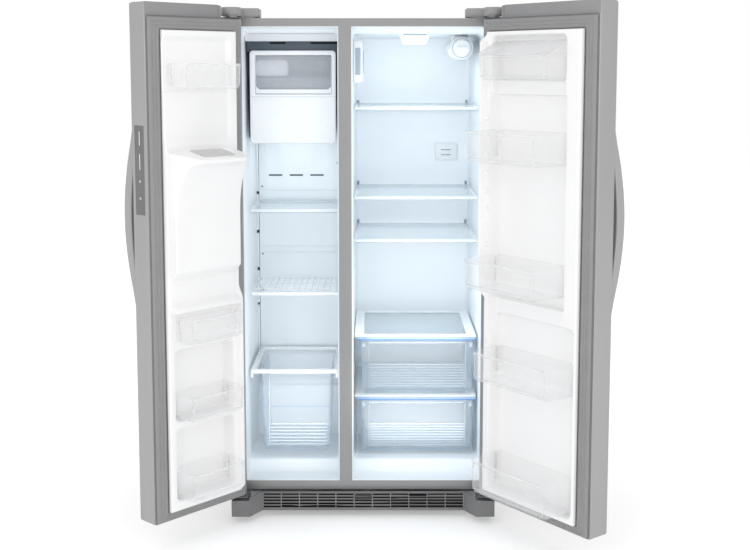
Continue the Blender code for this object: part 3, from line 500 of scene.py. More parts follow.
def grille():
    """Kick plate: bent ends, two bands, thin slats and upright ribs before a black screen that paints the shade of
    the air passage.
    """
    ends = refine("toe_grille", KICK, 0.0006, 1)
    shape = bmesh.new()
    shape.from_mesh(ends.data)
    middle = [f for f in shape.faces if all(abs(v.co.x) < 0.3524 for v in f.verts)]
    bmesh.ops.delete(shape, geom=middle, context="FACES")
    shape.to_mesh(ends.data)
    shape.free()
    low, high = CABINET.box("toe_grille")
    front, back = -0.0184, -0.0155
    rows = [0.0337 + 0.0102 * i for i in range(6)]
    shape = bmesh.new()
    add_bar(shape, (-0.352, front, low.z), (0.352, back, rows[0]), 0.0008)
    add_bar(shape, (-0.352, front, rows[5]), (0.352, back, high.z), 0.0008)
    add_bar(shape, (-0.352, front - 0.0008, high.z - 0.005), (0.352, front + 0.001, high.z - 0.0036), 0.0004)
    ribs = bmesh.new()
    for z in rows[1:5]:
        add_bar(shape, (-0.352, front, z - 0.0009), (0.352, front + 0.004, z + 0.0009), 0.0005)
    for i in range(12):
        x = -0.352 + 0.064 * i
        add_bar(ribs, (x - 0.0008, front - 0.0003, rows[0] - 0.001), (x + 0.0008, back, rows[5] + 0.001),
                0.0004, 2)
    add_bar(shape, (-0.032, front + 0.0004, rows[3]), (0.032, back, rows[5] + 0.001), 0.0008)
    piece("grille_slats", shape, CABINET, KICK)
    piece("grille_ribs", ribs, CABINET, GREY)
    lids, blocks = bmesh.new(), bmesh.new()
    for x0, x1 in ((-0.4528, -0.3942), (0.3942, 0.4528)):
        add_bar(lids, (x0, -0.0785, 0.0775), (x1, -0.004, 0.0806), 0.0008)
        add_bar(blocks, (x0 + 0.004, -0.064, 0.0802), (x1 - 0.004, -0.01, 0.0868), 0.0012)
    piece("hinge_block_lids", lids, CABINET, KICK)
    piece("hinge_block_brackets", blocks, CABINET, DARK)
    # Painted shade: a black sheet behind the slats stands in for the dark air passage.
    bar("grille_shade_screen", (-0.351, -0.0138, low.z + 0.002), (0.351, -0.0118, high.z - 0.002), CABINET,
        SHADE_BLACK)


def hinges():
    """Top hinge covers with their inner blocks and screws."""
    for side, flip in (("freezer", -1), ("fridge", 1)):
        refine(side + "_hinge_cover", GREY, 0.0008)
        low, high = CABINET.box(side + "_hinge_cover")
        middle = (low.x + high.x) / 2
        front = low.y - 0.0004
        x = middle + 0.024 * flip
        shape = add_bar(bmesh.new(), (x - 0.02, front, low.z + 0.004),
                        (x + 0.02, front + 0.03, high.z - 0.003), 0.002)
        add_bar(shape, (middle - 0.06, 0.0005, low.z - 0.0002), (middle + 0.03, 0.002, low.z + 0.0012),
                0.0004)
        piece(side + "_hinge_block", shape, CABINET, GREY)
        places = [(middle - 0.02 * flip, y, high.z) for y in (0.045, 0.08)]
        screws(side + "_hinge_screws", places, CABINET, axis=2, out=1)


# ------------------------------------------------------------------ fresh food side
def glass_shelf(node, place):
    """Tempered pane with a moulded front rail, side rails and a rear rail."""
    low, high = place.box(node)
    place = place.on(node)
    x0, x1, y0, y1, top = low.x, high.x, low.y, high.y, high.z
    pane = add_bar(bmesh.new(), (x0 + 0.004, y0 + 0.006, top - 0.0045),
                   (x1 - 0.004, y1 - 0.006, top - 0.0008), 0.0006)
    piece(node + "_pane", pane, place, GLASS, (node,))
    shape = add_bar(bmesh.new(), (x0, y0, low.z), (x1, y0 + 0.012, top), 0.003)
    add_bar(shape, (x0, y1 - 0.012, low.z + 0.002), (x1, y1, top), 0.003)
    piece(node + "_rails", shape, place, TRIM)
    shape = bmesh.new()
    for x in (x0, x1 - 0.006):
        add_bar(shape, (x, y0 + 0.01, top - 0.009), (x + 0.006, y1 - 0.01, top + 0.0004), 0.0014, 1)
    piece(node + "_side_rails", shape, place, TRIM)
    shape = add_bar(bmesh.new(), (x0 + 0.003, y0 - 0.0002, low.z - 0.0006),
                    (x1 - 0.003, y0 + 0.006, low.z + 0.001), 0.0005)
    add_bar(shape, (x0 + 0.004, y1 - 0.02, top - 0.0004), (x1 - 0.004, y1 - 0.0185, top + 0.0006), 0.0004)
    piece(node + "_lines", shape, place, PALE, slot="shelf_glass")


def shelf_hooks():
    """Rear wall ladders: small steel hooks at the back corners of each shelf."""
    shape = bmesh.new()
    for node in ("glass_shelf_top", "glass_shelf_middle", "glass_shelf_low"):
        low, high = CABINET.box(node)
        for x in (low.x + 0.0045, high.x - 0.0085):
            add_bar(shape, (x, high.y + 0.001, low.z - 0.004), (x + 0.004, high.y + 0.026, high.z + 0.01),
                    0.001, 1)
            add_bar(shape, (x - 0.003, high.y + 0.02, low.z - 0.002),
                    (x + 0.007, high.y + 0.026, high.z + 0.012), 0.001, 2)
    piece("shelf_hooks", shape, CABINET, HOOK)


def drawer_roof(node):
    """Glass lid over a drawer: frosted border, clear middle, white and blue front rail."""
    low, high = CABINET.box(node)
    x0, x1, y0, y1, top = low.x, high.x, low.y, high.y, high.z
    pane = (x0 + 0.003, y0 + 0.012, top - 0.0045), (x1 - 0.003, y1 - 0.003, top - 0.001)
    bar(node + "_pane", *pane, CABINET, GLASS, 0.0006, (node,))
    outer = (x0 + 0.001, x1 - 0.001, y0 + 0.01, y1, 0.006, 3)
    inner = (x0 + 0.034, x1 - 0.034, y0 + 0.026, y1 - 0.042, 0.01, 3)
    loops = [loop_at(2, top + rise, *rim) for rim, rise in
             ((outer, -0.0006), (inner, -0.0006), (inner, 0.0002), (outer, 0.0002))]
    piece(node + "_frost", add_loft(bmesh.new(), loops, ring=True), CABINET, FROST)
    shape = add_bar(bmesh.new(), (x0, y0, top - 0.0055), (x1, y0 + 0.014, top), 0.002)
    for x in (x0, x1 - 0.005):
        add_bar(shape, (x, y0 + 0.012, top - 0.012), (x + 0.005, y1, top - 0.0008), 0.0015, 1)
    add_bar(shape, (x0, y1 - 0.008, top - 0.012), (x1, y1, top - 0.0008), 0.002)
    piece(node + "_rail", shape, CABINET, TRIM)
    x0, x1 = x0 + 0.01, x1 - 0.003
    bar(node + "_blue_rail", (x0, y0 + 0.0008, top - 0.0145), (x1, y0 + 0.009, top - 0.0055), CABINET, BLUE,
        0.0012)
    bar(node + "_blue_line", (x0, y0 + 0.0004, top - 0.018), (x1, y0 + 0.006, top - 0.0145), CABINET,
        DEEP_BLUE, 0.0008)


def front_ribs(shape, low, high, lean, zs, sides, tall):
    """Flat ribs across a drawer's leaning front at the heights zs."""
    for z in zs:
        y = low.y + lean * (1 - (z - low.z) / (high.z - low.z))
        add_bar(shape, (low.x + sides[0], y - 0.0012, z), (high.x - sides[1], y + 0.0006, z + tall), 0.001)


def front_outline(shape, low, high, top, bend, lean, rise, foot, radius):
    """A fine dark edge down both sides and along the foot of a drawer's front."""
    y = low.y + lean
    path = [(top, low.y + 0.0012, high.z - rise), (bend, y, low.z + 0.01), (0.018, y, low.z + foot)]
    left = [(low.x + x, y, z) for x, y, z in path]
    right = [(high.x - x, y, z) for x, y, z in path[::-1]]
    return add_tube(shape, left + right, radius, 6)


def crisper_drawer(node):
    """Clear drawer: ribbed lower front, two upright panels, a finger rail along the top."""
    low, high = CABINET.box(node)
    place = CABINET.on(node)
    piece(node + "_tub", tub_shape(low, high, 0.014, 0.007, 0.003, 0.002, 0.012), place, DRAWER_CLEAR,
          (node,))
    shape = bmesh.new()
    zs = [low.z + 0.016 + i * (high.z - low.z) * 0.053 for i in range(9)]
    front_ribs(shape, low, high, 0.005, zs, (0.036, 0.034), 0.0034)
    piece(node + "_ribs", shape, place, RIB_CLEAR)
    shape = bmesh.new()
    for x in (low.x + 0.03, high.x - 0.032):
        add_bar(shape, (x, low.y + 0.0002, low.z + 0.012), (x + 0.0022, low.y + 0.0075, high.z - 0.006),
                0.0008, 2)
    for x in (low.x + 0.006, high.x - 0.018):
        add_bar(shape, (x, low.y + 0.0035, high.z - 0.028), (x + 0.012, low.y + 0.01, high.z - 0.008),
                0.0015, 2)
    add_bar(shape, (low.x + 0.034, low.y + 0.0003, high.z - 0.012),
            (high.x - 0.034, low.y + 0.006, high.z - 0.006), 0.0015)
    piece(node + "_panels", shape, place, RIB_CLEAR)
    shape = front_outline(bmesh.new(), low, high, 0.0022, 0.0085, 0.006, 0.01, 0.0018, 0.0011)
    piece(node + "_outline", shape, place, EDGE_BLUE)


def crisper_sides():
    """Upright side plates that carry the drawer lids."""
    low, high = CABINET.box("crisper_cover")
    for name, x0, x1 in (("left", low.x + 0.0035, low.x + 0.0065),
                         ("right", high.x - 0.0036, high.x - 0.001)):
        points = [(low.y + 0.018, 0.168), (0.405, 0.168), (0.455, 0.345), (high.y - 0.02, 0.35),
                  (high.y - 0.02, high.z - 0.013), (low.y + 0.018, high.z - 0.013)]
        shape = add_plate(bmesh.new(), points, 0, x0, x1, 0.0004)
        piece("crisper_side_" + name, shape, CABINET, DRAWER_CLEAR)


def fresh_food_top():
    """Lamp, water filter, control housing and rear vent."""
    refine("lamp_lens", LAMP, 0.003, 3)
    low, high = CABINET.box("lamp_lens")
    bar("lamp_base", (low.x + 0.012, low.y - 0.012, high.z - 0.003),
        (high.x - 0.012, high.y + 0.012, high.z), CABINET, PALE, 0.001)
    refine("filter_housing", WHITE, 0.0015, 3)
    refine("filter_cartridge", WHITE, 0.0008, 2)
    low, high = CABINET.box("filter_housing")
    centre = ((low.x + high.x) / 2, low.y, low.z + (high.x - low.x) / 2)
    profile = [(0.03, -0.0005), (0.0318, -0.0018), (0.0336, -0.0018), (0.035, -0.0005), (0.035, 0.002),
               (0.03, 0.002)]
    shape = bmesh.new()
    for scale in (1.0, 0.62):
        add_turned(shape, [(radius * scale, y) for radius, y in profile], centre, 1, 40, ring=True)
    piece("filter_ring", shape, CABINET, PALE, slot="white_liner")
    x0 = CABINET.box("fridge_liner")[0].x + 0.0032
    shape = add_bar(bmesh.new(), (x0, 0.15, 1.5175), (x0 + 0.034, 0.3, 1.665), 0.006, 2, 3)
    piece("control_housing", shape, CABINET, WHITE)
    shape = add_bar(bmesh.new(), (x0 + 0.008, 0.148, 1.545), (x0 + 0.026, 0.152, 1.64), 0.003, 2, 3)
    add_bar(shape, (x0 + 0.0325, 0.168, 1.55), (x0 + 0.036, 0.282, 1.632), 0.0015, 2)
    piece("control_dial_plate", shape, CABINET, PALE, slot="white_liner")
    back = CABINET.box("fridge_liner")[1].y - 0.0032
    bar("rear_vent", (0.28, back - 0.006, 1.207), (0.367, back, 1.274), CABINET, WHITE, 0.0025)
    shape = bmesh.new()
    for z in (1.226, 1.246):
        add_bar(shape, (0.302, back - 0.0066, z), (0.34, back - 0.005, z + 0.0042), 0.0006)
    piece("rear_vent_slots", shape, CABINET, HOOK)


def fresh_food_side():
    compartment("fridge_liner")
    for level in ("top", "middle", "low"):
        glass_shelf("glass_shelf_" + level, CABINET)
    shelf_hooks()
    drawer_roof("crisper_cover")
    drawer_roof("lower_crisper_cover")
    crisper_drawer("crisper_drawer_upper")
    crisper_drawer("crisper_drawer_lower")
    crisper_sides()
    fresh_food_top()


# ------------------------------------------------------------------ freezer side
def wire_shelf():
    """White coated wires from front to back on two cross rods, behind a flat front rail."""
    low, high = CABINET.box("wire_shelf")
    place = CABINET.on("wire_shelf")
    shape = bmesh.new()
    thick = 0.0016
    z = high.z - thick
    count = 14
    for i in range(count):
        x = low.x + 0.01 + (high.x - low.x - 0.02) * i / (count - 1)
        add_tube(shape, [(x, low.y + 0.004, z), (x, high.y - 0.001, z)], thick)
    for y in (low.y + 0.1, low.y + 0.2, high.y - 0.003):
        add_tube(shape, [(low.x + 0.002, y, z - 2 * thick), (high.x - 0.002, y, z - 2 * thick)],
                 thick + 0.0004)
    for x in (low.x + 0.003, high.x - 0.003):
        add_tube(shape, [(x, low.y + 0.004, z - thick), (x, high.y - 0.001, z - thick)], thick + 0.0006)
    add_bar(shape, (low.x, low.y, low.z - 0.004), (high.x, low.y + 0.007, high.z), 0.0025)
    piece("wire_shelf_wires", shape, place, WHITE, ("wire_shelf",))


def freezer_bin():
    """White open frame over a deep clear bin."""
    refine("freezer_bin_frame", WHITE, 0.003, 3)
    low, high = CABINET.box("freezer_bin_frame")
    shape = bmesh.new()
    for x in (low.x, high.x - 0.008):
        add_bar(shape, (x, low.y, low.z - 0.016), (x + 0.008, low.y + 0.012, low.z + 0.006), 0.002, 2)
        add_bar(shape, (x + 0.001, low.y + 0.012, low.z - 0.01), (x + 0.006, high.y, low.z + 0.004), 0.0015,
                1)
    piece("freezer_frame_rails", shape, CABINET, WHITE)
    low, high = CABINET.box("freezer_bin")
    place = CABINET.on("freezer_bin")
    tub = tub_shape(low, high, 0.014, 0.009, 0.003, 0.002, 0.012)
    piece("freezer_bin_tub", tub, place, DRAWER_CLEAR, ("freezer_bin",))
    shape = bmesh.new()
    front_ribs(shape, low, high, 0.007, [low.z + 0.016 + 0.0125 * i for i in range(7)], (0.022, 0.022),
               0.0036)
    add_bar(shape, (low.x + 0.03, low.y + 0.001, low.z + 0.014),
            (low.x + 0.0325, low.y + 0.008, high.z - 0.006), 0.0008, 2)
    piece("freezer_bin_ribs", shape, place, RIB_CLEAR)
    shape = front_outline(bmesh.new(), low, high, 0.003, 0.01, 0.007, 0.008, 0.002, 0.001)
    middle = low.z + (high.z - low.z) * 0.565
    add_tube(shape, [(low.x + 0.006, low.y + 0.0035, middle), (high.x - 0.006, low.y + 0.0035, middle)],
             0.0009, 6)
    piece("freezer_bin_outline", shape, place, EDGE_BLUE)


def freezer_back():
    """Rear panel with air slots, shallow ledges and screws."""
    refine("evaporator_cover", CABIN, 0.001)
    low, high = CABINET.box("evaporator_cover")
    wall = CABINET.box("freezer_liner")[0].x + 0.0031
    shape = bmesh.new()
    for z0, z1 in ((0.352, 0.66), (0.668, 0.795), (0.806, 0.94), (0.952, 1.09), (1.1, 1.6)):
        add_bar(shape, (wall, low.y + 0.0012, z0), (low.x - 0.0018, low.y + 0.01, z1), 0.0008, 2)
    piece("freezer_panel_edge", shape, CABINET, CABIN)
    shape = bmesh.new()
    for z in (0.862, 0.886, 1.105):
        add_bar(shape, (low.x + 0.012, low.y - 0.003, z), (high.x - 0.006, low.y + 0.001, z + 0.005), 0.0018)
    piece("freezer_panel_ledges", shape, CABINET, CABIN)
    places = [(low.x + 0.012, low.y, z) for z in (0.72, 0.86, 1.12)] + [(high.x - 0.01, low.y, 1.21)]
    screws("freezer_panel_screws", places, CABINET, PALE)
    shape = bmesh.new()
    for slot_x in (-0.364, -0.285, -0.206):
        add_bar(shape, (slot_x - 0.002, low.y + 0.0045, 1.156), (slot_x + 0.053, low.y + 0.006, 1.17), 0.0005)
    piece("freezer_slot_screens", shape, CABINET, SLATE_AND_SHADE, slot=None)


def ice_bin():
    """Ice bucket: fascia with round top corners, smoked window over a ledge, plain lower panel."""
    low, high = CABINET.box("ice_bin")
    place = CABINET.on("ice_bin")
    x0, x1, y0, z0, z1 = low.x, high.x, low.y, low.z, high.z
    a, b, c, d = x0 + 0.019, x1 - 0.014, 1.478, 1.6135
    loops = []
    for inset, y in ((0.0, y0 + 0.012), (0.0, y0 + 0.005), (0.0015, y0 + 0.0015), (0.005, y0)):
        loops.append(loop_at(1, y, x0 + inset, x1 - inset, z0 + inset, z1 - inset, 0.012 - inset * 0.6))
    for grow, y in ((0.003, y0), (0.001, y0 + 0.001), (0.0, y0 + 0.003), (0.0, y0 + 0.012)):
        loops.append(loop_at(1, y, a - grow, b + grow, c - grow, d + grow, 0.004 + grow))
    piece("ice_bin_fascia", add_loft(bmesh.new(), loops, ring=True), place, FASCIA, ("ice_bin",))
    cut = 0.01
    sill = c + 0.017
    points = [(a + 0.003 + cut, sill), (b - 0.003 - cut, sill), (b - 0.003, sill + cut),
              (b - 0.003, d - 0.001), (a + 0.003, d - 0.001), (a + 0.003, sill + cut)]
    pane = add_plate(bmesh.new(), points, 1, y0 + 0.0085, y0 + 0.0105, 0.0003)
    piece("ice_bin_window", pane, place, SMOKE)
    points = [(a, c), (b, c), (b, d), (b - 0.003, d), (b - 0.003, sill + cut), (b - 0.003 - cut, sill),
              (a + 0.003 + cut, sill), (a + 0.003, sill + cut), (a + 0.003, d), (a, d)]
    ledge = add_plate(bmesh.new(), points, 1, y0 + 0.0055, y0 + 0.0115, 0.0)
    piece("ice_bin_ledge", ledge, place, FASCIA)
    # Painted shade: pale blue-grey lines around the ledge and across the fascia below paint the shade in those
    # creases.
    shape = add_bar(bmesh.new(), (a + 0.001, y0 + 0.0044, c + 0.0006), (b - 0.001, y0 + 0.0056, c + 0.0028),
                    0.0004)
    for x in (a + 0.0006, b - 0.002):
        add_bar(shape, (x, y0 + 0.0044, c + 0.001), (x + 0.0014, y0 + 0.0056, d - 0.004), 0.0004, 2)
    add_bar(shape, (x0 + 0.003, y0 - 0.0003, 1.4685), (x1 - 0.003, y0 + 0.0007, 1.47), 0.0004)
    piece("ice_bin_ledge_shade_line", shape, place, PALE, slot="white_liner")
    tub_low = Vector((x0 + 0.006, y0 + 0.012, z0 + 0.004))
    tub_high = Vector((x1 - 0.006, high.y, 1.535))
    tub = tub_shape(tub_low, tub_high, 0.014, 0.004, 0.0025, 0.0, 0.01)
    piece("ice_bin_tub", tub, place, WHITE)


def ice_maker():
    """Dark slate panels around the ice maker, partly its dark plastic parts and partly painted shade, with its
    case behind the bin's window.
    """
    liner_low, liner_high = CABINET.box("freezer_liner")
    x0, x1 = liner_low.x + 0.0045, liner_high.x - 0.0045
    roof = liner_high.z - CEILING_DROP - 0.004
    points = [(0.094, roof), (0.2, roof), (0.2, roof - 0.026), (0.118, roof - 0.024)]
    brow = add_plate(bmesh.new(), points, 0, x0, x1, 0.0004)
    piece("ice_maker_brow", brow, CABINET, FASCIA)
    # Painted shade: the strip and the shroud paint the shadow under the freezer ceiling, partly over dark ice
    # maker parts.
    bar("ice_maker_shadow_strip", (x0 + 0.004, 0.128, roof - 0.06), (x1 - 0.004, 0.14, roof - 0.022), CABINET,
        SLATE_AND_SHADE, 0.002)
    bar("ice_maker_shade_shroud", (x0, 0.204, roof - 0.006), (x1, 0.46, roof), CABINET, SLATE_AND_SHADE, 0.002)
    # Painted shade: black slots in the shroud.
    shape = bmesh.new()
    for start, end in ((x0 + 0.085, x0 + 0.14), (x1 - 0.095, x1 - 0.002)):
        add_bar(shape, (start, 0.1262, roof - 0.033), (end, 0.129, roof - 0.0275), 0.001)
    piece("ice_maker_shade_slots", shape, CABINET, SHADE_BLACK, slot="dark_plastic")
    # Painted shade: a dark plate along the side wall beside the ice maker.
    points = [(0.118, roof), (0.455, roof), (0.455, 1.32), (0.235, 1.32)]
    side = add_plate(bmesh.new(), points, 0, x0, x0 + 0.002, 0.0004)
    piece("ice_maker_side_shade_screen", side, CABINET, SLATE_AND_SHADE)
    refine("ice_maker", WHITE, 0.004, 3)
    low = CABINET.box("ice_bin")[0]
    # Painted light: the case is drawn glowing.
    bar("ice_maker_case", (low.x + 0.02, 0.131, 1.541), (low.x + 0.132, 0.17, 1.598), CABINET, GLOWING_CASE, 0.012)


def freezer_side():
    compartment("freezer_liner")
    freezer_back()
    glass_shelf("freezer_shelf", CABINET)
    wire_shelf()
    freezer_bin()
    ice_bin()
    ice_maker()


# ------------------------------------------------------------------ doors
def door_skin(side, place):
    """Steel door, its grey end cap over the hinge and the seam behind its rear edge."""
    refine(side + "_door_shell", STEEL, 0.001)
    low, high = place.box(side + "_door_shell")
    shape = bmesh.new()
    add_bar(shape, (0.076, low.y + 0.006, high.z - 0.002), (high.x - 0.006, high.y - 0.004, high.z + 0.0012),
            0.0012)
    add_bar(shape, (0.082, high.y - 0.003, 1.7312), (high.x - 0.0016, high.y + 0.001, high.z + 0.0012),
            0.0012)
    add_bar(shape, (low.x + 0.006, low.y + 0.006, low.z - 0.0012),
            (high.x - 0.006, high.y - 0.004, low.z + 0.002), 0.0012)
    add_bar(shape, (0.0705, high.y - 0.001, 1.732), (0.0795, high.y + 0.0022, high.z - 0.001), 0.001, 2)
    piece(side + "_door_caps", shape, place, CAP)
    bar(side + "_hinge_bearing", (0.004, low.y + 0.012, 1.7308), (0.066, high.y - 0.003, 1.7345), place,
        DARK, slot=None)


def gasket(side, place):
    """Magnetic seal with three soft ridges, mitred at its corners."""
    node = side + "_door_gasket"
    low, high = place.box(node)
    inner_low, inner_high = place.box(side + "_door_liner")
    y0, y1 = low.y, high.y
    profile = [(0.0, y0), (0.0, y0 + 0.006), (0.04, y0 + 0.009)]
    ridges = 3
    for i in range(ridges):
        start, width = 0.06 + 0.9 * i / ridges, 0.9 / ridges
        tall = y1 - 0.0004 * (i % 2)
        profile += [(start + width * 0.12, tall - 0.001), (start + width * 0.2, tall - 0.0002),
                    (start + width * 0.8, tall - 0.0002), (start + width * 0.88, tall - 0.001)]
    profile += [(0.98, y1 - 0.003), (1.0, y1 - 0.005), (1.0, y0)]

    def between(t, y, gap):
        """The seal's outline at y, from its outer edge at t = 0 to the liner's edge at t = 1."""
        return loop_at(1, y, low.x + t * (inner_low.x - low.x - gap),
                       high.x - t * (high.x - inner_high.x - gap), low.z + t * (inner_low.z - low.z - gap),
                       high.z - t * (high.z - inner_high.z - gap), 0.002, 2)

    loops = [between(t, y, 0.0005) for t, y in profile]
    # Painted shade: thin darker rings along the seal's outer and inner edges paint the shade in the gaps beside
    # it.
    seam_shade = bmesh.new()
    for t0, t1, y in ((-0.045, -0.005, y0 + 0.0042), (0.955, 0.985, y1 + 0.0004)):
        corners = ((t0, 0.0), (t0, 0.0008), (t1, 0.0008), (t1, 0.0))
        add_loft(seam_shade, [between(t, y + out, 0.0) for t, out in corners], ring=True)
    piece(side + "_gasket_seam_shade", seam_shade, place, KICK, slot="gasket_grey")
    piece(side + "_gasket_ridges", add_loft(bmesh.new(), loops, ring=True), place, SEAL, (node,))


def handle(side, place):
    """Bow handle: a smooth arch of flattened steel running into the door at both ends."""
    node = side + "_door_handle"
    low, high = place.box(node)
    face = high.y
    out = face - low.y
    tall = high.z - low.z
    count = 48
    loops = []
    for i in range(count + 1):
        t = i / count
        rise = math.sin(math.pi * t) ** 0.9 if 0 < t < 1 else 0.0
        crest = face - max(out * rise, 0.0008)
        under_t = (t * tall - 0.11) / (tall - 0.22)
        under = math.sin(math.pi * under_t) ** 0.9 if 0 < under_t < 1 else 0.0
        inner = face - (out - 0.037) * under
        inner = max(inner, crest + 0.0006)
        z = low.z + tall * t
        half = (inner - crest) / 2
        loops.append(loop_at(2, z, low.x, high.x, crest, inner, min(0.007, half * 0.95), 4))
    piece(side + "_handle_bow", add_loft(bmesh.new(), loops), place, STEEL, (node,))


def sheet(name, place, us, zs, height, node, hole=None):
    """A moulded skin y = height(u, z), its rim turned back to the gasket."""
    shape = bmesh.new()
    rows = [[shape.verts.new((u, height(u, z), z)) for u in us] for z in zs]
    for k in range(len(zs) - 1):
        for i in range(len(us) - 1):
            u, z = (us[i] + us[i + 1]) / 2, (zs[k] + zs[k + 1]) / 2
            if hole and hole(u, z):
                continue
            shape.faces.new((rows[k][i], rows[k][i + 1], rows[k + 1][i + 1], rows[k + 1][i]))
    ring = rows[0] + [row[-1] for row in rows[1:]] + rows[-1][-2::-1] + [row[0] for row in rows[-2:0:-1]]
    back = [shape.verts.new((v.co.x, RIM_BACK, v.co.z)) for v in ring]
    for i in range(len(ring)):
        j = (i + 1) % len(ring)
        shape.faces.new((ring[i], back[i], back[j], ring[j]))
    for vertex in [v for v in shape.verts if not v.link_faces]:
        shape.verts.remove(vertex)
    made = piece(name, shape, place, DOOR_WHITE, (node,), smooth=50)
    thick = made.modifiers.new("thickness", "SOLIDIFY")
    thick.thickness = 0.0015
    thick.offset = -1.0
    outward = place.matrix.to_3x3() @ Vector((0, 1, 0))
    total = sum(((p.normal * p.area) for p in made.data.polygons), Vector())
    if total.dot(outward) < 0:
        made.data.flip_normals()
    return made


def rim_roll(u, z, low, high, radius=0.005):
    """How far the skin's outer edge has rolled back, as a round of the given radius."""
    near = min(u - low.x, high.x - u, z - low.z, high.z - z)
    t = max(0.0, 1.0 - near / radius)
    return radius * (1.0 - math.sqrt(max(0.0, 1.0 - t * t)))


FRIDGE_POCKETS = [((0.054, 0.388), (1.522, 1.676)), ((0.044, 0.394), (0.797, 1.493)),
                  ((0.054, 0.438), (0.147, 0.763))]
FREEZER_POCKETS = [((0.052, 0.338), (1.32, 1.672)), ((0.055, 0.305), (0.427, 0.668)),
                   ((0.055, 0.305), (0.162, 0.408))]
POCKET_Y = -0.0295
RIM_BACK = -0.0125
SLOPE = 0.013


def fridge_liner():
    """Fresh food door's inner skin with three pockets, and the round bumps along its side rib."""
    node = "fridge_door_liner"
    low, high = FRIDGE.box(node)
    top = high.y
    edges_u = [low.x, 0.038, high.x] + [u for (a, b), _ in FRIDGE_POCKETS for u in (a + 0.006, b - 0.006)]
    edges_z = [low.z, high.z, 0.817, 1.666] + [z for _, (a, b) in FRIDGE_POCKETS
                                               for z in (a + 0.006, b - 0.006)]

    def height(u, z):
        inside = max(pocket(u, z, rect, 0.022, SLOPE) for rect in FRIDGE_POCKETS)
        bands = (((0.058, 0.386), (1.42, 1.6)), ((0.046, 0.392), (0.7, 0.86)))
        inside = max(inside, 0.62 * max(pocket(u, z, rect, 0.022, SLOPE) for rect in bands))
        ridge = 0.03 * ramp(z, 0.8, 0.835) * (1 - ramp(z, 1.65, 1.682)) * (1 - ramp(u, 0.03, 0.046))
        y = top + ridge - (top - POCKET_Y) * inside
        return y - rim_roll(u, z, low, high) * (1 - inside)

    us = stations(low.x, high.x, edges_u, 0.0026, 0.022, 0.019)
    zs = stations(low.z, high.z, edges_z, 0.0026, 0.03, 0.022)
    sheet("fridge_door_skin", FRIDGE, us, zs, height, node)
    shape = bmesh.new()
    dome = [(0.0084, -0.001), (0.008, 0.002), (0.006, 0.0042), (0.0032, 0.0052), (0.0006, 0.0055)]
    for i in range(8):
        add_turned(shape, dome, (0.0408, top + 0.0068, 0.985 + 0.06 * i), 1, 20)
    piece("fridge_door_buttons", shape, FRIDGE, DOOR_WHITE)


def bulge(u, z):
    """Ice and water housing: how far it stands out at a place on the door."""
    if not 0.778 < z < 1.322:
        return -1.0
    foot = -0.06 + 0.11 * ramp(z, 0.78, 0.792)
    waist = 0.032 * ramp(z, 0.8, 0.824) - 0.034 * ramp(z, 0.89, 0.927)
    scoop = 0.063 * (1 - math.sqrt(max(0.0, 1 - min(1.0, max(0.0, (z - 1.1) / 0.17)) ** 2)))
    crown = 0.015 * ramp(z, 1.262, 1.272)
    side = foot - waist + scoop + crown
    if z > 1.283:
        side = min(side, 0.13 - (z - 1.283) * (0.15 / 0.032))
    free = 0.13 - 0.09 * ramp(u, 0.262, 0.33) - 0.2 * ramp(u, 0.316, 0.3262)
    hinge = 0.13 - 0.04 * ramp(-u, -0.092, -0.054) - 0.2 * ramp(-u, -0.056, -0.044)
    return soft_min(side, min(free, hinge), 0.008)


RING_TOP = 0.015
FUNNEL_U = (0.105, 0.235)
FUNNEL_Y = (0.022, 0.095)


def crown_z(y):
    """Height of the housing's sloping top."""
    return 1.283 + (0.13 - y) * (0.032 / 0.15)


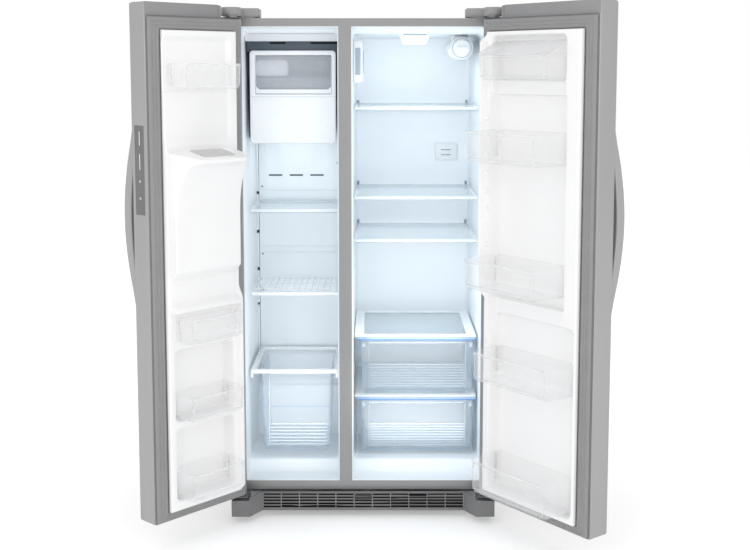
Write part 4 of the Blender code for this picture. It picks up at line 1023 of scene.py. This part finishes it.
def freezer_liner():
    """Freezer door's inner skin with the ice and water housing and its funnel."""
    node = "freezer_door_liner"
    low, high = FREEZER.box(node)
    edges_u = [low.x, high.x, 0.044, 0.05, 0.062, 0.3, 0.318, 0.328] + [u for (a, b), _ in FREEZER_POCKETS
                                                                        for u in (a + 0.006, b - 0.006)]
    edges_z = [low.z, high.z, 0.786, 0.812, 0.905, 0.925, 1.225, 1.25, 1.283, 1.3, 1.495, 1.336, 1.656]
    edges_z += [z for _, (a, b) in FREEZER_POCKETS for z in (a + 0.006, b - 0.006)]
    hole_z = [crown_z(y) for y in (FUNNEL_Y[1], FUNNEL_Y[0])]

    def height(u, z):
        shallow = pocket(u, z, FREEZER_POCKETS[0], 0.024, 0.02)
        inside = max(pocket(u, z, rect, 0.02, SLOPE) for rect in FREEZER_POCKETS[1:])
        y = RING_TOP - (RING_TOP - POCKET_Y) * inside - 0.01 * shallow * (0.45 + 0.55 * ramp(z, 1.49, 1.5))
        y += 0.02 * ramp(z, 0.133, 0.16) * (1 - ramp(z, 0.8, 0.85)) * (1 - ramp(u, 0.036, 0.052))
        return max(y - rim_roll(u, z, low, high) * (1 - inside), bulge(u, z))

    us = stations(low.x, high.x, edges_u, 0.0028, 0.008, 0.018, FUNNEL_U)
    zs = stations(low.z, high.z, edges_z, 0.0028, 0.014, 0.02, hole_z)

    def hole(u, z):
        return FUNNEL_U[0] < u < FUNNEL_U[1] and hole_z[0] < z < hole_z[1]

    sheet("freezer_door_skin", FREEZER, us, zs, height, node, hole)
    loops = []
    for inset, drop in ((-0.003, -0.0002), (-0.0025, -0.0018), (0.0005, -0.002), (0.0015, 0.0), (0.006, 0.01),
                        (0.016, 0.018), (0.024, 0.0185)):
        loop = rounded_loop(FUNNEL_U[0] + inset, FUNNEL_U[1] - inset, FUNNEL_Y[0] + inset,
                            FUNNEL_Y[1] - inset, 0.012, 4)
        loops.append([(u, y, crown_z(y) - drop) for u, y in loop])
    funnel = add_loft(bmesh.new(), loops, start_cap=False, end_cap=False)
    # Painted shade: the funnel's white plastic is drawn grey.
    made = piece("ice_funnel", funnel, FREEZER, FUNNEL_SHADE)
    made.modifiers.new("thickness", "SOLIDIFY").thickness = 0.0012
    shape = bmesh.new()
    for z in (0.222, 0.487):
        add_turned(shape, [(0.007, -0.004), (0.0068, 0.002), (0.005, 0.0052), (0.0026, 0.0066),
                           (0.0006, 0.007)], (0.064, -0.022, z), 1, 20)
    piece("freezer_door_buttons", shape, FREEZER, DOOR_WHITE)
    bar("ice_funnel_flap", (0.126, 0.045, 1.2785), (0.214, 0.076, 1.28), FREEZER, PALE, 0.0006)


def door_bin(node, place):
    """Clear bin: leaning walls, a rolled lip, a base rib and hooks at its back corners."""
    low, high = place.box(node)
    place = place.on(node)
    tub = tub_shape(low, high, 0.016, 0.006, 0.0025, 0.0015, 0.011)
    middle = (low.x + high.x) / 2
    wide = high.y - low.y

    def taper(x, y):
        return middle + (x - middle) * (1 - 0.07 * max(0.0, (y - low.y) / wide) ** 2)

    for vertex in tub.verts:
        vertex.co.x = taper(vertex.co.x, vertex.co.y)
    piece(node + "_tub", tub, place, BIN_CLEAR, (node,))
    shape = bmesh.new()
    y, z0, z1 = high.y, low.z, high.z
    x0, x1 = taper(low.x, y), taper(high.x, y)
    add_bar(shape, (x0 + 0.014, y - 0.0075, z0 + 0.014), (x1 - 0.014, y - 0.005, z0 + 0.0165), 0.0008)
    add_bar(shape, (x0 + 0.012, y - 0.0036, z1 - 0.01), (x1 - 0.012, y - 0.0006, z1 - 0.0005), 0.0012)
    for x in (x0 + 0.0105, x1 - 0.012):
        add_bar(shape, (x, y - 0.0085, z0 + 0.012), (x + 0.0015, y - 0.004, z1 - 0.008), 0.0006, 2)
    for x in (low.x + 0.0008, high.x - 0.0038):
        add_bar(shape, (x, low.y + 0.006, z0 + 0.012), (x + 0.003, low.y + 0.018, z1 - 0.006), 0.001, 2)
    piece(node + "_rims", shape, place, RIM_CLEAR)


def dairy_box():
    """Clear tray with a slanted flip-up cover."""
    low, high = FRIDGE.box("dairy_bin")
    tub = tub_shape(low, high, 0.014, 0.006, 0.0025, 0.0015, 0.011)
    piece("dairy_tray", tub, FRIDGE, BIN_CLEAR, ("dairy_bin",))
    shape = bmesh.new()
    for x in (low.x + 0.03, high.x - 0.032):
        add_bar(shape, (x, high.y - 0.008, low.z + 0.012), (x + 0.0016, high.y - 0.002, high.z - 0.006),
                0.0006, 2)
    add_bar(shape, (low.x + 0.01, high.y - 0.008, low.z + 0.012),
            (high.x - 0.01, high.y - 0.0055, low.z + 0.0148), 0.0008)
    piece("dairy_tray_ribs", shape, FRIDGE, RIM_CLEAR)
    refine("dairy_cover", RIM_CLEAR, 0.0006, 2)


def control_strip():
    """Two light bars above the keys, with a fine round mark on each key."""
    low, high = FREEZER.box("control_panel")
    edge, y, top = high.x, (low.y + high.y) / 2, high.z
    shape = bmesh.new()
    for z0, z1 in ((0.0185, 0.062), (0.089, 0.139)):
        add_bar(shape, (edge - 0.0002, y - 0.0013, top - z1), (edge + 0.0005, y + 0.0013, top - z0), 0.0003,
                2)
    piece("control_light_bars", shape, FREEZER, GLOW)
    for index in (1, 2):
        node = "panel_key_%d" % index
        refine(node, GREY, 0.0003)
        key_low, key_high = FREEZER.box(node)
        centre = [(key_low[i] + key_high[i]) / 2 for i in range(3)]
        centre[0] = key_high.x - 0.0001
        profile = [(0.0028, 0.0), (0.0028, 0.0004), (0.0036, 0.0004), (0.0036, 0.0)]
        piece(node + "_ring", add_turned(bmesh.new(), profile, centre, 0, ring=True), FREEZER.on(node), GLOW)


def dispenser():
    """Bezel, drip tray and spouts in the alcove on the front of the freezer door."""
    refine("dispenser_housing", DARK, 0.0008)
    refine("dispenser_paddle", STRIP, 0.001)
    low, high = FREEZER.box("dispenser_housing")
    u0, u1, z0, z1 = low.x, high.x, 0.935, 1.24
    face = FREEZER.box("freezer_door_shell")[0].y
    loops = []
    for grow, y in ((0.004, face + 0.0002), (0.004, face - 0.0025), (0.0028, face - 0.0036),
                    (0.0, face - 0.0036), (-0.003, face - 0.002), (-0.0036, face + 0.0002)):
        loops.append(loop_at(1, y, u0 - 0.014 - grow, u1 + 0.014 + grow, z0 - 0.014 - grow, z1 + 0.092 + grow,
                             0.014 + grow))
    piece("dispenser_bezel", add_loft(bmesh.new(), loops, ring=True), FREEZER, STEEL)
    shape = add_bar(bmesh.new(), (u0 - 0.013, face - 0.0022, z1 + 0.004),
                    (u1 + 0.013, face - 0.0002, z1 + 0.091), 0.0015)
    for x0, x1 in ((u0 - 0.013, u0 - 0.001), (u1 + 0.001, u1 + 0.013)):
        add_bar(shape, (x0, face - 0.0022, z0 - 0.013), (x1, face - 0.0002, z1 + 0.005), 0.001, 2)
    add_bar(shape, (u0 - 0.002, face - 0.0022, z0 - 0.013), (u1 + 0.002, face - 0.0002, z0 - 0.001), 0.001)
    piece("dispenser_fascia", shape, FREEZER, DARK)
    shape = bmesh.new()
    profile = [(0.0062, 0.0), (0.0062, -0.0005), (0.0054, -0.0005), (0.0054, 0.0)]
    for i in range(5):
        add_turned(shape, profile, (u0 + 0.022 + 0.034 * i, face - 0.0021, z1 + 0.046), 1, ring=True)
    piece("dispenser_icons", shape, FREEZER, GLOW)
    shape = bmesh.new()
    for i in range(9):
        x = u0 + 0.014 + (u1 - u0 - 0.028) * i / 8
        add_bar(shape, (x - 0.003, face + 0.014, z0 + 0.004), (x + 0.003, face + 0.115, z0 + 0.0085), 0.0012,
                1)
    for y in (face + 0.01, face + 0.112):
        add_bar(shape, (u0 + 0.006, y, z0 + 0.0035), (u1 - 0.006, y + 0.006, z0 + 0.0095), 0.0015)
    piece("drip_grille", shape, FREEZER, STRIP)
    shape = bmesh.new()
    spout = [(0.019, 0.0), (0.019, -0.022), (0.0165, -0.026), (0.013, -0.026), (0.013, -0.006)]
    add_turned(shape, spout, ((u0 + u1) / 2, face + 0.055, z1 - 0.003), 2, 28)
    add_turned(shape, [(0.006, 0.0), (0.006, -0.02), (0.0045, -0.022), (0.003, -0.022), (0.003, -0.01)],
               ((u0 + u1) / 2, face + 0.022, z1 - 0.003), 2, 20)
    piece("dispenser_spouts", shape, FREEZER, STRIP)


def doors():
    for side, place in (("freezer", FREEZER), ("fridge", FRIDGE)):
        door_skin(side, place)
        gasket(side, place)
        handle(side, place)
    fridge_liner()
    freezer_liner()
    for place, levels in ((FREEZER, ("top", "upper", "middle", "bottom")),
                          (FRIDGE, ("upper", "middle", "lower", "bottom"))):
        for level in levels:
            door_bin(place.body + "_bin_" + level, place)
    dairy_box()
    control_strip()
    dispenser()


# ------------------------------------------------------------------ camera, floor, light
EYE = Vector((MIDDLE_X + 0.0413, FACE_Y - 4.0017, 1.5651))
LENS_MM = 56.377
TILT_DEG = 6.354
SHIFT = -0.1


def camera():
    """Eye level in front of the middle, looking slightly down."""
    data = bpy.data.cameras.new("camera")
    data.sensor_width = 36.0
    data.lens = LENS_MM
    data.shift_y = SHIFT
    made = bpy.data.objects.new("camera", data)
    made.location = EYE
    made.rotation_euler = (math.radians(90 - TILT_DEG), 0.0, 0.0)
    bpy.context.scene.collection.objects.link(made)
    bpy.context.scene.camera = made


def floor():
    shape = bmesh.new()
    bmesh.ops.create_grid(shape, x_segments=1, y_segments=1, size=14.0)
    mesh = bpy.data.meshes.new("floor")
    shape.to_mesh(mesh)
    shape.free()
    pale = surface("pale_floor", (0.93, 0.93, 0.93), 0.9, tone=(0.6, 0.005),
                   Emission_Color=(1.0, 1.0, 1.0, 1.0), Emission_Strength=0.22)
    mesh.materials.append(pale)
    made = bpy.data.objects.new("floor", mesh)
    bpy.context.scene.collection.objects.link(made)


def area_light(name, place, aim, size, power, colour=(1, 1, 1)):
    data = bpy.data.lights.new(name, "AREA")
    data.shape = "RECTANGLE"
    data.size, data.size_y = size
    data.energy = power
    data.color = colour
    made = bpy.data.objects.new(name, data)
    made.location = place
    made.rotation_euler = (Vector(aim) - Vector(place)).to_track_quat("-Z", "Y").to_euler()
    made.visible_camera = False
    bpy.context.scene.collection.objects.link(made)


def studio():
    """White surroundings, two soft lights in front and a cool lamp in each compartment."""
    world = bpy.data.worlds.new("studio")
    world.use_nodes = True
    world.node_tree.nodes["Background"].inputs["Color"].default_value = (1.0, 1.0, 1.0, 1.0)
    world.node_tree.nodes["Background"].inputs["Strength"].default_value = 1.0
    scene = bpy.context.scene
    scene.world = world
    scene.view_settings.view_transform = "Standard"
    scene.cycles.transparent_max_bounces = 32
    area_light("key", (-2.2, -4.0, 3.2), (0, 0, 0.9), (2.5, 2.5), 22.0)
    area_light("fill", (2.4, -4.2, 2.2), (0, 0, 0.8), (2.5, 2.5), 14.0)
    cool = (0.93, 0.97, 1.0)
    front = FACE_Y - 0.012
    for name, x, width, power in (("freezer", -0.249, 0.3, 0.64), ("fridge", 0.189, 0.44, 1.22)):
        x += MIDDLE_X
        area_light(name + "_lamp", (x, front, 0.98), (x, FACE_Y + 0.6, 0.98), (width, 1.38), power, cool)
        area_light(name + "_low_lamp", (x, front, 0.56), (x, FACE_Y + 0.6, 0.48), (width, 0.36),
                   power * 0.18, cool)
    x = MIDDLE_X + 0.19
    area_light("upper_lamp", (x, FACE_Y + 0.22, 1.6), (x, FACE_Y + 0.55, 1.3), (0.24, 0.08), 0.42, cool)
    area_light("lid_lamp", (x, FACE_Y + 0.17, 0.85), (x, FACE_Y + 0.28, 0.55), (0.38, 0.16), 0.3, cool)
    area_light("upper_drawer_lamp", (x, FACE_Y + 0.145, 0.59), (x, FACE_Y + 0.6, 0.56), (0.36, 0.1), 0.05,
               cool)
    area_light("wall_lamp", (x - 0.15, FACE_Y + 0.2, 1.15), (x + 0.24, FACE_Y + 0.24, 1.15), (0.1, 0.9),
               0.15, cool)
    area_light("drawer_lamp", (x, FACE_Y + 0.145, 0.29), (x, FACE_Y + 0.6, 0.34), (0.36, 0.14), 0.21, cool)
    x = MIDDLE_X - 0.25
    area_light("bin_lamp", (x + 0.01, FACE_Y + 0.1, 0.34), (x, FACE_Y + 0.48, 0.32), (0.24, 0.24), 0.21, cool)
    area_light("lower_ice_lamp", (x, FACE_Y + 0.25, 1.28), (x, FACE_Y + 0.48, 1.1), (0.2, 0.06), 0.17, cool)


def main():
    camera()
    floor()
    studio()
    dress_nodes()
    face_trim()
    grille()
    hinges()
    fresh_food_side()
    freezer_side()
    doors()


main()
